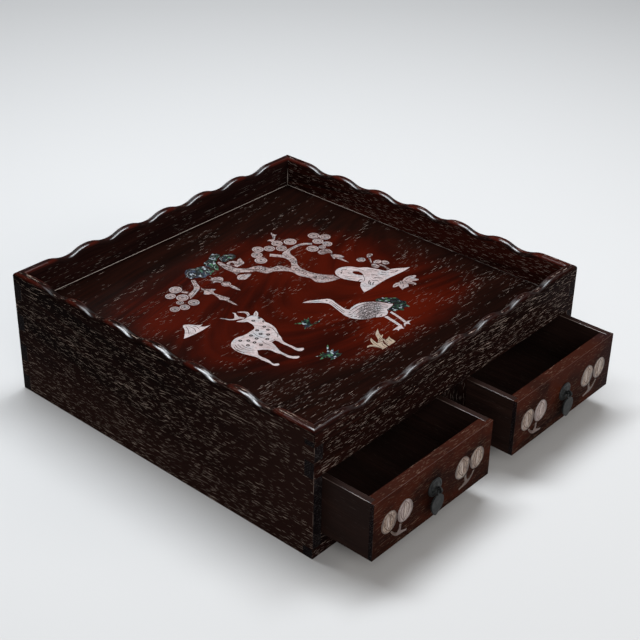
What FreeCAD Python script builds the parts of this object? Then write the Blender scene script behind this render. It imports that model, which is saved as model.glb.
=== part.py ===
"""A square hardwood tray with a scalloped rim over two drawers, inlaid with shell.

Millimetres, +Z up.  The drawers open towards -Y and are drawn part way out.  The
origin is the middle of the whole thing as it stands, on the surface it stands on.
"""
import FreeCAD, Part
import math
import os
import re
import Sketcher

document = FreeCAD.newDocument("tray_with_drawers")
sizes = document.addObject("Spreadsheet::Sheet", "sizes")

SIZES = [
    ("case_width", 360, "case, outside, left to right"),
    ("case_depth", 360, "case, outside, front to back"),
    ("case_height", 122, "table to the crests of the rim"),
    ("board_thick", 10, "walls and rails of the case"),
    ("well_depth", 30, "crest of the rim down to the tray floor"),
    ("floor_thick", 8, "tray floor panel"),
    ("floor_tongue", 4, "edge of the tray floor inside its groove"),
    ("floor_tongue_thick", 5, "that edge's thickness, level with the underside"),
    ("floor_line", 0.2, "fine line between the tray floor and the walls"),
    ("bottom_thick", 6, "bottom board of the case"),
    ("bottom_tongue", 3, "edge of the bottom board inside its groove"),
    ("top_rail_height", 44.4, "front rail below the rim's crests"),
    ("bottom_rail_height", 20, "front rail under the drawers"),
    ("stile_width", 33, "post between the two drawers"),
    ("tenon_long", 5, "stub tenons of the post, each end"),
    ("tenon_shoulder", 1.5, "wood left round a tenon on every side"),
    ("partition_thick", 8, "inner walls behind the post"),
    ("partition_housing", 2, "partition edges sunk in floor and bottom board"),
    ("wave_pitch", 49, "crest to crest along the rim"),
    ("wave_count", 6, "hollows in each side of the rim"),
    ("wave_depth", 4.5, "depth of a hollow"),
    ("crest_flat", 1.5, "level top of each crest"),
    ("rim_round", 4, "rounding of the rim's two long edges"),
    ("edge_ease", 0.5, "rounding of the edges that hands and dusters wear"),
    ("mitre_height", 10, "mitred part of the corner, under the crests"),
    ("bottom_finger", 9.5, "bottom rail's finger at the corner"),
    ("rail_finger", 15.4, "top rail's lower finger"),
    ("side_finger", 14.5, "side board's finger above it"),
    ("back_fingers", 4, "number of fingers on the back board's ends"),
    ("drawer_open", 51, "how far the drawers are drawn out"),
    ("drawer_side_gap", 0.75, "running gap at each side of a drawer"),
    ("drawer_under_gap", 0.3, "running gap under a drawer"),
    ("drawer_top_gap", 2.8, "gap over a drawer, under the top rail"),
    ("drawer_stop_gap", 0.5, "closed drawer to the back board"),
    ("front_thick", 10, "drawer front"),
    ("front_lip", 4, "drawer front ahead of the drawer sides"),
    ("drawer_side_thick", 6, "drawer sides and back"),
    ("back_rabbet", 3, "drawer back sunk in the drawer sides"),
    ("drawer_bottom_thick", 4, "drawer bottom"),
    ("drawer_bottom_up", 5, "drawer's lower edge to the bottom's underside"),
    ("drawer_groove", 3, "drawer bottom inside its groove"),
    ("inlay_thick", 0.8, "shell inlay, flush with the wood"),
    ("picture_width", 240, "inlaid picture on the tray floor, left to right"),
    ("motif_width", 39, "pair of fruits on a drawer front, left to right"),
    ("motif_spacing", 47, "drawer's middle to the middle of a fruit motif"),
    ("pull_height", 1.8, "pull's pivot above the drawer's middle"),
    ("plate_radius", 8.5, "round plate of the pull"),
    ("plate_edge", 0.6, "plate thickness at its edge"),
    ("bead_radius", 7.3, "raised bead near the plate's edge"),
    ("bead_height", 1.1, "plate thickness at the bead"),
    ("dish_radius", 5.1, "shallow dish inside the bead"),
    ("dish_height", 0.9, "plate thickness at the dish"),
    ("crown_radius", 3, "raised middle of the plate"),
    ("crown_height", 1.8, "plate thickness at the crown's shoulder"),
    ("plate_middle", 2, "plate thickness beside the pin"),
    ("wire_radius", 0.9, "wire of the pin's eye and of the drop's ring"),
    ("eye_radius", 2.1, "middle line of the eye and of the ring"),
    ("eye_reach", 5, "drawer face to the middle of the eye"),
    ("shank_radius", 1.3, "both legs of the split pin together"),
    ("shank_clearance", 0.1, "shank to the holes it passes through"),
    ("leg_long", 9, "clinched leg behind the drawer front"),
    ("leg_thick", 0.9, "clinched leg, off the wood"),
    ("drop_length", 23, "pivot to the tip of the drop"),
    ("drop_half_width", 7.8, "half the width of the drop"),
    ("drop_neck", 1.3, "half the width of the drop's neck, under its ring"),
    ("drop_thick", 1.8, "drop, front to back"),
    ("drop_round", 0.5, "rounding of the drop's edges"),
    ("left_lean", 12, "left drop hangs askew, degrees"),
    ("right_lean", 4, "right drop hangs askew, degrees"),
]

for row, (alias, value, note) in enumerate(SIZES, start=1):
    sizes.set(f"A{row}", alias)
    sizes.set(f"B{row}", str(value))
    sizes.set(f"C{row}", note)
    sizes.setAlias(f"B{row}", alias)
document.recompute()

ALIASES = {alias for alias, value, note in SIZES}
OVERCUT = 1.0        # cutters run this far past the face they enter by
TOUCH = 0.01         # two places nearer than this are the same place
CORNER = True        # third value of an outline point where the outline turns sharply

# Places worked out from the sizes, as expressions
wall_x = "case_width / 2"
inner_x = "(case_width / 2 - board_thick)"
middle_y = "((drawer_open + eye_reach + eye_radius + wire_radius) / 2)"
front_y = f"({middle_y} - case_depth / 2)"
back_y = f"({middle_y} + case_depth / 2)"
inner_front_y = f"({front_y} + board_thick)"
inner_back_y = f"({back_y} - board_thick)"
floor_top = "(case_height - well_depth)"
floor_low = "(case_height - well_depth - floor_thick)"
bay_low = "bottom_rail_height"
bay_high = "(case_height - top_rail_height)"
bottom_low = "(bottom_rail_height - bottom_thick)"
mitre_low = "(case_height - mitre_height)"
stile_x = "(stile_width / 2)"
ends_x = [(f"-{wall_x}", f"-{inner_x}"), (inner_x, wall_x)]
side_finger_low = "(case_height - top_rail_height + rail_finger)"
side_finger_high = "(case_height - top_rail_height + rail_finger + side_finger)"
back_finger = "((case_height - mitre_height) / (2 * back_fingers - 1))"

nodes = []


def on_sheet(text):
    """Turn the size names in an expression into cells of the sheet."""
    def cell(word):
        return f"sizes.{word.group()}" if word.group() in ALIASES else word.group()
    return re.sub(r"[a-z_]+", cell, str(text))


def number(text):
    """The value that an expression has now."""
    return float(sizes.evalExpression(on_sheet(text)))


def bind(thing, **expressions):
    """Bind properties of an object to expressions on the sheet."""
    for name, text in expressions.items():
        thing.setExpression(name.replace("__", "."), on_sheet(text))


def keep(thing, name):
    """Mark an object as one piece of the model, and name it."""
    thing.Label = name
    nodes.append(thing)
    return thing


def new_body(name):
    """An empty solid that is built up from features."""
    return document.addObject("PartDesign::Body", name + "_body")


def box(body, kind, name, low, high):
    """Add or cut the box between two corners, given as expressions."""
    feature = body.newObject(f"PartDesign::{kind}Box", name)
    for axis, side, start, end in zip("xyz", ("Length", "Width", "Height"), low, high):
        feature.setExpression(f"Placement.Base.{axis}", on_sheet(start))
        feature.setExpression(side, on_sheet(f"({end}) - ({start})"))
    return feature


def sketch_on(body, role, name):
    """A sketch on one of the body's own origin planes."""
    plane = [item for item in body.Origin.OriginFeatures if item.Role == role][0]
    sketch = body.newObject("Sketcher::SketchObject", name)
    sketch.AttachmentSupport = (plane, "")
    sketch.MapMode = "FlatFace"
    return sketch


def hold(sketch, kind, first, value):
    """Add one driven size to a sketch and bind it to an expression."""
    index = sketch.addConstraint(Sketcher.Constraint(kind, *first, number(value)))
    sketch.renameConstraint(index, f"{kind}_{index}")
    sketch.setExpression(f"Constraints.{kind}_{index}", on_sheet(value))


def hold_point(sketch, geometry, end, place):
    """Hold one end of a line or arc at a place given as two expressions."""
    hold(sketch, "DistanceX", (-1, 1, geometry, end), place[0])
    hold(sketch, "DistanceY", (-1, 1, geometry, end), place[1])


def polygon(sketch, corners):
    """Draw a closed outline of straight lines, each corner held by expressions."""
    places = [FreeCAD.Vector(number(x), number(y), 0) for x, y in corners]
    lines = [sketch.addGeometry(Part.LineSegment(place, places[(index + 1) % len(places)]))
             for index, place in enumerate(places)]
    for index, line in enumerate(lines):
        sketch.addConstraint(Sketcher.Constraint("Coincident", line, 2, lines[(index + 1) % len(lines)], 1))
        hold_point(sketch, line, 1, corners[index])


def edges_at(shape, **places):
    """Names of the straight edges that lie at the given coordinates."""
    found = []
    for index, edge in enumerate(shape.Edges, start=1):
        span = edge.BoundBox
        ends = {"x": (span.XMin, span.XMax), "y": (span.YMin, span.YMax), "z": (span.ZMin, span.ZMax)}
        misses = [abs(end - number(place)) for axis, place in places.items() for end in ends[axis]]
        if max(misses) < TOUCH and isinstance(edge.Curve, Part.Line):
            found.append(f"Edge{index}")
    return found


def ease(body, *lines):
    """Take the sharpness off edges, each given by the coordinates that it lies at."""
    document.recompute()
    last = body.Tip
    names = [name for line in lines for name in edges_at(last.Shape, **line)]
    eased = body.newObject("PartDesign::Fillet", "eased_edges")
    eased.Base = (last, names)
    bind(eased, Radius="edge_ease")
    document.recompute()


def check_cut(body):
    """Stop if the last cut took nothing away."""
    document.recompute()
    if body.Tip.BaseFeature.Shape.Volume - body.Shape.Volume < TOUCH:
        raise RuntimeError(f"{body.Tip.Label} cut nothing from {body.Name}")


# The rim: hollows cut along a board's top, joined by crests

def cut_waves(body, plane, centre):
    """Cut the row of hollows into a board's top and round the rim's long edges."""
    half = "((wave_pitch - crest_flat) / 2)"
    radius = f"(({half} * {half} + wave_depth * wave_depth) / (4 * wave_depth))"
    middle = f"({centre} - (wave_count - 1) * wave_pitch / 2)"
    start = (f"{middle} - {half}", "case_height")
    left_turn = (f"{middle} - {half} / 2", "case_height - wave_depth / 2")
    right_turn = (f"{middle} + {half} / 2", "case_height - wave_depth / 2")
    end = (f"{middle} + {half}", "case_height")
    arcs = [
        (f"{middle} - {half}", f"case_height - {radius}", start, left_turn, False),
        (middle, f"case_height - wave_depth + {radius}", left_turn, right_turn, True),
        (f"{middle} + {half}", f"case_height - {radius}", right_turn, end, False),
    ]
    sketch = sketch_on(body, plane, "hollow")
    drawn = []
    for centre_x, centre_y, first, last, hollow in arcs:
        cx, cy = number(centre_x), number(centre_y)
        low, high = (first, last) if hollow else (last, first)
        angles = [math.atan2(number(y) - cy, number(x) - cx) for x, y in (low, high)]
        circle = Part.Circle(FreeCAD.Vector(cx, cy, 0), FreeCAD.Vector(0, 0, 1), number(radius))
        arc = sketch.addGeometry(Part.ArcOfCircle(circle, *angles))
        hold(sketch, "Radius", (arc,), radius)
        hold_point(sketch, arc, 1, low)
        hold_point(sketch, arc, 2, high)
        drawn.append(arc)
    above = f"case_height + {OVERCUT}"
    lid = [start, (start[0], above), (end[0], above), end]
    for first, last in zip(lid, lid[1:]):
        points = [FreeCAD.Vector(number(x), number(y), 0) for x, y in (first, last)]
        line = sketch.addGeometry(Part.LineSegment(*points))
        hold_point(sketch, line, 1, first)
        hold_point(sketch, line, 2, last)
    pocket = body.newObject("PartDesign::Pocket", "hollow_cut")
    pocket.Profile = sketch
    pocket.Type = "ThroughAll"
    pocket.Midplane = True
    document.recompute()
    row = body.newObject("PartDesign::LinearPattern", "hollows")
    row.Originals = [pocket]
    row.Direction = (sketch, ["H_Axis"])
    bind(row, Length="wave_pitch * (wave_count - 1)", Occurrences="wave_count")
    body.Tip = row
    check_cut(body)
    rounded = body.newObject("PartDesign::Fillet", "rim_rounding")
    rounded.Base = (row, rim_edges(row.Shape))
    bind(rounded, Radius="rim_round")
    document.recompute()


def rim_edges(shape):
    """Names of the edges that run along the top of a board, front and back."""
    lowest = number("case_height - wave_depth") - TOUCH
    thin_in_x = shape.BoundBox.XLength < shape.BoundBox.YLength
    found = []
    for index, edge in enumerate(shape.Edges, start=1):
        span = edge.BoundBox
        thickness = span.XLength if thin_in_x else span.YLength
        if span.ZMin > lowest and thickness < TOUCH:
            found.append(f"Edge{index}")
    return found


def cut_mitres(body, wedges):
    """Cut the mitred tops of a board's two ends."""
    sketch = sketch_on(body, "XY_Plane", "mitre")
    bind(sketch, AttachmentOffset__Base__z="case_height")
    document.recompute()
    for corners in wedges:
        polygon(sketch, corners)
    pocket = body.newObject("PartDesign::Pocket", "mitre_cut")
    pocket.Profile = sketch
    pocket.Type = "Length"
    bind(pocket, Length="mitre_height")
    check_cut(body)


def end_wedges(outer_y, inner_y):
    """Wedges cut from both ends of a board that runs from left to right."""
    ends = [(f"-{wall_x}", f"-{inner_x}"), (wall_x, inner_x)]
    return [[(outer, outer_y), (outer, inner_y), (inner, inner_y)] for outer, inner in ends]


# The case

def floor_box(past_walls, top):
    """Corners of the tray floor as far as a distance past the inner faces of the walls."""
    reach = f"({inner_x} + {past_walls})"
    low = (f"-{reach}", f"{inner_front_y} - {past_walls}", floor_low)
    return low, (reach, f"{inner_back_y} + {past_walls}", top)


def floor_groove():
    """Corners of the space that the tray floor's tongue fills in all four walls."""
    return floor_box("floor_tongue", f"{floor_low} + floor_tongue_thick")


def bottom_groove():
    """Corners of the bottom board, which runs into the walls at its full thickness."""
    reach = f"({inner_x} + bottom_tongue)"
    low = (f"-{reach}", f"{inner_front_y} - bottom_tongue", bottom_low)
    return low, (reach, f"{inner_back_y} + bottom_tongue", bay_low)


def tenon_box(low, high):
    """Corners of a stub tenon of the centre post between two heights."""
    reach = f"({stile_x} - tenon_shoulder)"
    far = f"({inner_front_y} - floor_tongue - tenon_shoulder)"
    return (f"-{reach}", f"{front_y} + tenon_shoulder", low), (reach, far, high)


def side_board(name, sign):
    """One side of the case: sign -1 is the left side, 1 the right."""
    body = new_body(name)
    outer, inner = (f"-{wall_x}", f"-{inner_x}") if sign < 0 else (wall_x, inner_x)
    low_x, high_x = (outer, inner) if sign < 0 else (inner, outer)
    box(body, "Additive", "blank", (low_x, front_y, "0"), (high_x, back_y, "case_height"))
    cut_waves(body, "YZ_Plane", middle_y)
    ease(body, {"x": outer, "y": front_y}, {"x": outer, "y": back_y})
    front_wedge = [(outer, front_y), (inner, front_y), (inner, inner_front_y)]
    back_wedge = [(outer, back_y), (inner, back_y), (inner, inner_back_y)]
    cut_mitres(body, [front_wedge, back_wedge])
    rail_fingers = [("0", "bottom_finger"), (bay_high, side_finger_low), (side_finger_high, mitre_low)]
    for low, high in rail_fingers:
        box(body, "Subtractive", "front_socket", (low_x, front_y, low), (high_x, inner_front_y, high))
    for index in range(int(number("back_fingers"))):
        low, high = f"{2 * index} * {back_finger}", f"{2 * index + 1} * {back_finger}"
        box(body, "Subtractive", "back_socket", (low_x, inner_back_y, low), (high_x, back_y, high))
    box(body, "Subtractive", "floor_groove", *floor_groove())
    box(body, "Subtractive", "bottom_groove", *bottom_groove())
    return keep(body, name)


def back_board():
    """The back of the case, with fingers that fill the sides' sockets."""
    body = new_body("back_board")
    box(body, "Additive", "blank", (f"-{wall_x}", inner_back_y, "0"), (wall_x, back_y, "case_height"))
    cut_waves(body, "XZ_Plane", "0")
    ease(body, {"x": f"-{wall_x}", "y": back_y}, {"x": wall_x, "y": back_y})
    cut_mitres(body, end_wedges(back_y, inner_back_y))
    for index in range(int(number("back_fingers")) - 1):
        low, high = f"{2 * index + 1} * {back_finger}", f"{2 * index + 2} * {back_finger}"
        for low_x, high_x in ends_x:
            box(body, "Subtractive", "socket", (low_x, inner_back_y, low), (high_x, back_y, high))
    box(body, "Subtractive", "floor_groove", *floor_groove())
    box(body, "Subtractive", "bottom_groove", *bottom_groove())
    return keep(body, "back_board")


def front_top_rail():
    """The scalloped rail over the drawers."""
    body = new_body("front_top_rail")
    box(body, "Additive", "blank", (f"-{wall_x}", front_y, bay_high), (wall_x, inner_front_y, "case_height"))
    cut_waves(body, "XZ_Plane", "0")
    ease(body, {"x": f"-{wall_x}", "y": front_y}, {"x": wall_x, "y": front_y}, {"y": front_y, "z": bay_high})
    cut_mitres(body, end_wedges(front_y, inner_front_y))
    for low_x, high_x in ends_x:
        low, high = (low_x, front_y, side_finger_low), (high_x, inner_front_y, side_finger_high)
        box(body, "Subtractive", "socket", low, high)
    box(body, "Subtractive", "floor_groove", *floor_groove())
    box(body, "Subtractive", "mortise", *tenon_box(bay_high, f"{bay_high} + tenon_long"))
    return keep(body, "front_top_rail")


def front_bottom_rail():
    """The rail under the drawers, with one low finger at each end."""
    body = new_body("front_bottom_rail")
    low, high = (f"-{inner_x}", front_y, "0"), (inner_x, inner_front_y, bay_low)
    box(body, "Additive", "blank", low, high)
    low, high = (f"-{wall_x}", front_y, "0"), (wall_x, inner_front_y, "bottom_finger")
    box(body, "Additive", "fingers", low, high)
    ease(body, {"x": f"-{wall_x}", "y": front_y}, {"x": wall_x, "y": front_y}, {"y": front_y, "z": bay_low})
    box(body, "Subtractive", "bottom_groove", *bottom_groove())
    box(body, "Subtractive", "mortise", *tenon_box(f"{bay_low} - tenon_long", bay_low))
    return keep(body, "front_bottom_rail")


def centre_stile():
    """The post between the drawers, tenoned into both rails."""
    body = new_body("centre_stile")
    box(body, "Additive", "post", (f"-{stile_x}", front_y, bay_low), (stile_x, inner_front_y, bay_high))
    ease(body, {"x": f"-{stile_x}", "y": front_y}, {"x": stile_x, "y": front_y})
    box(body, "Additive", "lower_tenon", *tenon_box(f"{bay_low} - tenon_long", bay_low))
    box(body, "Additive", "upper_tenon", *tenon_box(bay_high, f"{bay_high} + tenon_long"))
    return keep(body, "centre_stile")


def partition_box(sign):
    """Corners of the inner wall beside one drawer, its housed edges included."""
    near, far = stile_x, f"({stile_x} - partition_thick)"
    low_x, high_x = (f"-{near}", f"-{far}") if sign < 0 else (far, near)
    low = (low_x, inner_front_y, f"{bay_low} - partition_housing")
    return low, (high_x, inner_back_y, f"{floor_low} + partition_housing")


def partition(name, sign):
    """One inner wall that guides a drawer and holds up the tray floor."""
    body = new_body(name)
    box(body, "Additive", "wall", *partition_box(sign))
    return keep(body, name)


def bottom_board():
    """The board the drawers slide on."""
    body = new_body("bottom_board")
    box(body, "Additive", "panel", *bottom_groove())
    for sign in (-1, 1):
        box(body, "Subtractive", "housing", *partition_box(sign))
    return keep(body, "bottom_board")


# Shell inlay: each slice is a flat outline, let into a pocket of its own shape

def draw_outline(sketch, points, scale=1, mirror=1):
    """Draw a closed outline: smooth between corners, straight from corner to corner."""
    places = [FreeCAD.Vector(mirror * scale * point[0], scale * point[1], 0) for point in points]
    corners = [index for index, point in enumerate(points) if len(point) > 2]
    if not corners:
        curve = Part.BSplineCurve()
        curve.interpolate(places, PeriodicFlag=True)
        sketch.addGeometry(curve)
        return
    count = len(places)
    for here, there in zip(corners, corners[1:] + [corners[0] + count]):
        run = [places[index % count] for index in range(here, there + 1)]
        if len(run) == 2:
            sketch.addGeometry(Part.LineSegment(*run))
        else:
            curve = Part.BSplineCurve()
            curve.interpolate(run)
            sketch.addGeometry(curve)


def draw_disc(sketch, x, y, radius):
    """Draw one round slice."""
    sketch.addGeometry(Part.Circle(FreeCAD.Vector(x, y, 0), FreeCAD.Vector(0, 0, 1), radius))


def slices(name, sketch):
    """Cut the slices drawn in a sketch from shell of one thickness."""
    solid = document.addObject("Part::Extrusion", name + "_slices")
    solid.Base = sketch
    solid.DirMode = "Normal"
    solid.Solid = True
    bind(solid, LengthFwd="inlay_thick")
    return keep(solid, name)


def floor_inlay(name, outlines=(), discs=()):
    """Slices let into the tray floor, drawn from above about the tray's middle."""
    sketch = document.addObject("Sketcher::SketchObject", name + "_outline")
    bind(sketch, Placement__Base__y=middle_y, Placement__Base__z=f"{floor_top} - inlay_thick")
    scale = number("picture_width") / PICTURE_DRAWN
    for points in outlines:
        draw_outline(sketch, points, scale)
    for x, y, radius in discs:
        draw_disc(sketch, scale * x, scale * y, scale * radius)
    return slices(name, sketch)


# The picture's outlines, in millimetres from the tray's middle at this width of the whole
PICTURE_DRAWN = 240

HILL = [(-121, 23.5, CORNER), (-114, 29.5), (-110, 34), (-105.5, 40), (-101, 37), (-97.5, 31.5),
        (-90, 30, CORNER), (-97, 28, CORNER), (-95.5, 26), (-88.5, 23.3, CORNER), (-105, 21.8)]

ROCK = [(48.5, -37.5, CORNER), (52.5, -31), (57, -26), (62, -23.5, CORNER), (60, -19), (56.5, -12),
        (54.5, -4), (55.7, 2), (60, 7.5), (67, 9.5), (73, 7.5), (78, 3), (81, -3), (86, -7.5),
        (89.5, -14), (92, -20), (94, -26), (99, -27.2), (104, -29.5), (109, -33.5),
        (116, -38, CORNER), (105, -38.6), (90, -37.3), (76, -36.8), (62, -37.8)]
ROCK_HOLE = [(69.3, -7), (72, -4.5), (75.3, -7.5), (75.5, -11), (72.5, -15.5), (69.8, -11.5)]

TRUNK = [(53.6, -4.6, CORNER), (47.5, -3), (41, -0.5), (35.5, 3), (33, 8.5), (34.5, 15), (33, 21.5),
         (31, 27.5), (31.8, 34), (30.3, 40), (25.5, 46), (20, 50), (14.5, 51.5), (11.5, 57),
         (9.5, 63, CORNER), (3.5, 66), (-1, 69.8), (-8.5, 70.4, CORNER), (-7, 78), (-7.5, 86),
         (-6, 93), (-4.5, 99), (-2.6, 101), (-1, 98.5), (-0.9, 92), (0.2, 86), (1, 80.5), (4.3, 75.5),
         (9, 71.5), (15, 70), (19.5, 67), (21.2, 61.5), (22.5, 57), (27, 55.5), (31.5, 54.5),
         (34.2, 50), (36, 43, CORNER), (40.5, 45.5), (45.5, 52), (47.3, 58), (46, 64), (42.5, 69),
         (39.7, 73.5, CORNER), (43.7, 76.5, CORNER), (46.5, 72.5), (50.3, 66.8, CORNER), (54.5, 69.3),
         (61, 70.6), (69, 70.6), (77, 70.2), (83, 67.4), (88.6, 62.5, CORNER), (86, 60, CORNER),
         (81, 64.2), (75, 66.8), (68, 67.5), (61.5, 66.6), (57.5, 62.5), (55.3, 56), (52.5, 50),
         (47.5, 44.5), (44, 38.5), (42.6, 30), (43.5, 22), (46, 15.5), (49.5, 9.5),
         (54, 4.8, CORNER), (53.2, 0)]
LEFT_BRANCH = [(-66.3, 75, CORNER), (-60, 77.8), (-54, 80.3), (-50, 85), (-46.5, 91),
               (-44.3, 94.2, CORNER), (-41.6, 91.6, CORNER), (-44.5, 86), (-47.2, 80, CORNER),
               (-50.5, 76.5), (-56, 74), (-62, 71.3), (-69.3, 69.6, CORNER), (-67, 72, CORNER)]
LEFT_STALK = [(-66.6, 84.2, CORNER), (-64.6, 84.4, CORNER), (-61.3, 79.6, CORNER), (-64.2, 78.6, CORNER)]
TOP_TWIG = [(62.5, 92.3, CORNER), (63.3, 94.5), (60.8, 96.5, CORNER), (64.5, 97.3), (67.2, 95.2, CORNER),
            (70, 97.4), (72.5, 101), (77.5, 106.8, CORNER), (76, 102), (77.5, 99, CORNER), (72, 96.4),
            (68, 93.4), (65.7, 92.2, CORNER)]

CROWN_LEFT = [(-43.2, 97.5), (-42.8, 102), (-39.5, 107.5), (-36, 110.3), (-30.5, 110.6), (-26.5, 107.8),
              (-21, 107), (-17, 103), (-17.4, 97), (-16.8, 91), (-20, 89.8), (-24, 88.4), (-28, 89),
              (-33, 88), (-36, 91.8), (-40, 94.8)]
CROWN_MIDDLE = [(-15.6, 104.5), (-12.5, 109.3), (-6, 111), (-1, 114), (4.5, 116.5), (9, 113.5),
                (8.5, 109), (3.5, 107), (-1, 104.3), (-5.2, 101.3), (-7.9, 96), (-9.8, 92),
                (-14, 90.2), (-15.7, 97)]
CROWN_RIGHT = [(0.9, 99.5), (3, 104.3), (8, 106.7), (12.5, 105.8), (17.2, 104.5), (19, 100),
               (16.5, 95.8), (11, 94.9), (6, 96.3), (2, 96.2)]

LEFT_SPRAY = [(-50, 74.8, CORNER), (-47.9, 77, CORNER), (-47.3, 72), (-44.5, 69.5), (-41, 64.5, CORNER),
              (-45, 63.7), (-46.8, 61.5), (-46.3, 56), (-44.8, 50), (-43.6, 44, CORNER),
              (-46.3, 43.5, CORNER), (-46.8, 37), (-48, 30, CORNER), (-49.3, 37), (-49.6, 44),
              (-51.8, 48.5, CORNER), (-50.2, 53), (-49.2, 58), (-49, 62.3, CORNER), (-52, 63),
              (-55, 67, CORNER), (-52, 68.8), (-50.2, 71)]
MIDDLE_SPRAY = [(-28.4, 86.7, CORNER), (-26.9, 86.6, CORNER), (-26, 81.8), (-22.8, 79.8), (-21.3, 75.5),
                (-24.3, 72.2), (-26, 70.6, CORNER), (-29.5, 70.8, CORNER), (-30.5, 74),
                (-34.3, 75.2, CORNER), (-32.3, 78.5), (-34, 82, CORNER), (-30.5, 81.8), (-28.9, 83)]
MIDDLE_SPRAY_TIP = [(-28.6, 60, CORNER), (-25.2, 60.2, CORNER), (-24.9, 56), (-26.7, 47, CORNER),
                    (-28.3, 53)]
CENTRE_LEAVES = [(-13.5, 62.5, CORNER), (-11.5, 66.5), (-7.5, 68.6), (-3.5, 67), (0.5, 64.3),
                 (2.8, 62.3, CORNER), (0, 60.3), (-4, 59.2), (-9, 58.6), (-12, 61)]
CLUMP = [(2.6, 80.5, CORNER), (8, 80.8), (13, 81.3), (15.6, 85.5), (18, 91.3, CORNER), (13.5, 90.6),
         (10.8, 88.3, CORNER), (8.5, 92.3), (4.5, 93.9), (1, 92.6), (1.8, 86.5)]
CLUMP_HOLE = [(2.9, 86), (2.6, 90), (5.3, 91), (5.8, 88), (4.3, 85.5)]
RIGHT_SPRAY = [(76.5, 41.5), (79, 46.2), (85, 46), (89.5, 42.5), (89, 37.5), (86, 34.3), (84, 37),
               (79.5, 38.3)]
RIGHT_SPRAY_TIP = [(83.3, 33.4), (80.5, 30), (77.7, 24.3, CORNER), (81.3, 25.5, CORNER), (81.5, 18),
                   (82.7, 10, CORNER), (84.3, 17), (84.7, 21, CORNER), (88.5, 20.5, CORNER),
                   (88.7, 25), (86, 30.5)]

BUD = [(90.7, 4.5), (92, 8.5), (96, 9), (99.5, 6), (98, 2), (93, 1.5)]
BUD_LEAF = [(103, 3.4), (106, 7.3), (111.5, 5, CORNER), (107, 2.6)]
BUD_TWIG = [(96, -6.3, CORNER), (99.5, -1.5), (102.6, 2, CORNER), (104, 1, CORNER), (100.5, -3),
            (97.3, -6.4, CORNER)]
PETAL_LEFT = [(91.5, -12.5), (93.3, -9), (96.6, -8.3), (97.8, -12), (96.8, -16.5), (94, -16.5)]
PETAL_TOP = [(98.4, -8.2), (102, -5.5), (107, -8), (106, -11), (102, -12), (99.4, -11)]
PETAL_RIGHT = [(103.8, -13.8), (108.5, -11.6), (110, -15.5), (107.5, -19), (103.8, -17.8)]
FLOWER_STEM = [(97.3, -25.4, CORNER), (98.3, -20), (98.9, -13.6, CORNER), (101.5, -13.4, CORNER),
               (101.3, -19), (100, -26, CORNER)]

LEAVES = [(74, -51.2, CORNER), (77, -48.8), (82, -47.9), (85.5, -49, CORNER), (88, -48.3, CORNER),
          (90, -49.6, CORNER), (94, -48.1), (99, -47.9), (103.5, -49.6), (107, -51.8, CORNER),
          (104.5, -53.8), (100.6, -53.8, CORNER), (101.8, -56), (103, -58.6, CORNER), (99.5, -59),
          (97, -57.2), (95, -56.1, CORNER), (94.9, -59), (94.7, -62.4, CORNER), (92.2, -63.2, CORNER),
          (91, -59.6), (89.2, -56, CORNER), (87.3, -58.8), (85, -60.6, CORNER), (81, -59.7),
          (76.6, -60.2, CORNER), (78.3, -56), (80.3, -53, CORNER), (77, -52.6)]

DEER = [(-104, -22), (-101, -14), (-95, -9.8), (-88, -8.5), (-81, -10.5), (-74, -10), (-67, -9),
        (-64.3, -6), (-62.8, -1), (-62.8, 3.5, CORNER), (-66, 6), (-69.3, 10.8, CORNER), (-64.5, 9.6),
        (-61, 8.6, CORNER), (-58, 9), (-54, 8.7), (-51.3, 7.2, CORNER), (-48.5, 9.3),
        (-43.8, 11, CORNER), (-46, 6.5), (-49.8, 3.5, CORNER), (-49.8, 0), (-50.5, -5),
        (-52.3, -8.2, CORNER), (-51.8, -14), (-53, -20), (-56, -26), (-59.5, -31), (-61.5, -36),
        (-64.8, -41), (-65.8, -48), (-65.5, -54), (-64.6, -59), (-61.4, -62), (-64, -64), (-67.3, -63),
        (-68.4, -59), (-68, -52), (-68.6, -45), (-68.4, -38), (-69, -35.6, CORNER),
        (-73.2, -35.6, CORNER), (-74.2, -39), (-76, -44), (-78.5, -50), (-79, -57), (-78.4, -62),
        (-75.5, -66), (-73.6, -68.4), (-76, -69.5), (-79.7, -67), (-81.6, -62), (-81.6, -55),
        (-83, -50), (-83.2, -44), (-85.5, -40), (-89, -37), (-91, -35.5, CORNER), (-93, -38),
        (-95.6, -41.5), (-96, -48), (-96.4, -56), (-96.8, -61), (-94, -63.6), (-95, -65), (-98.3, -64),
        (-98.8, -58), (-99.5, -50), (-99.7, -42), (-101.7, -36), (-103.7, -29)]
LEFT_ANTLER = [(-75.5, 25.5, CORNER), (-72, 21.5), (-69.2, 17.4), (-66.6, 15.7, CORNER), (-64, 18.3),
               (-61.6, 21), (-61, 24.5, CORNER), (-59.6, 21), (-61.3, 17), (-61, 13.5),
               (-59.6, 9.9, CORNER), (-61.2, 9.6, CORNER), (-63, 11.3), (-66.5, 13), (-70.3, 15.6),
               (-73.4, 21)]
RIGHT_ANTLER = [(-54.8, 9.6, CORNER), (-51.5, 12), (-50.8, 15.5), (-53, 19), (-57, 22, CORNER),
                (-55.3, 18.8), (-53.6, 15.8), (-54.3, 12.5), (-57, 10, CORNER)]

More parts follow.
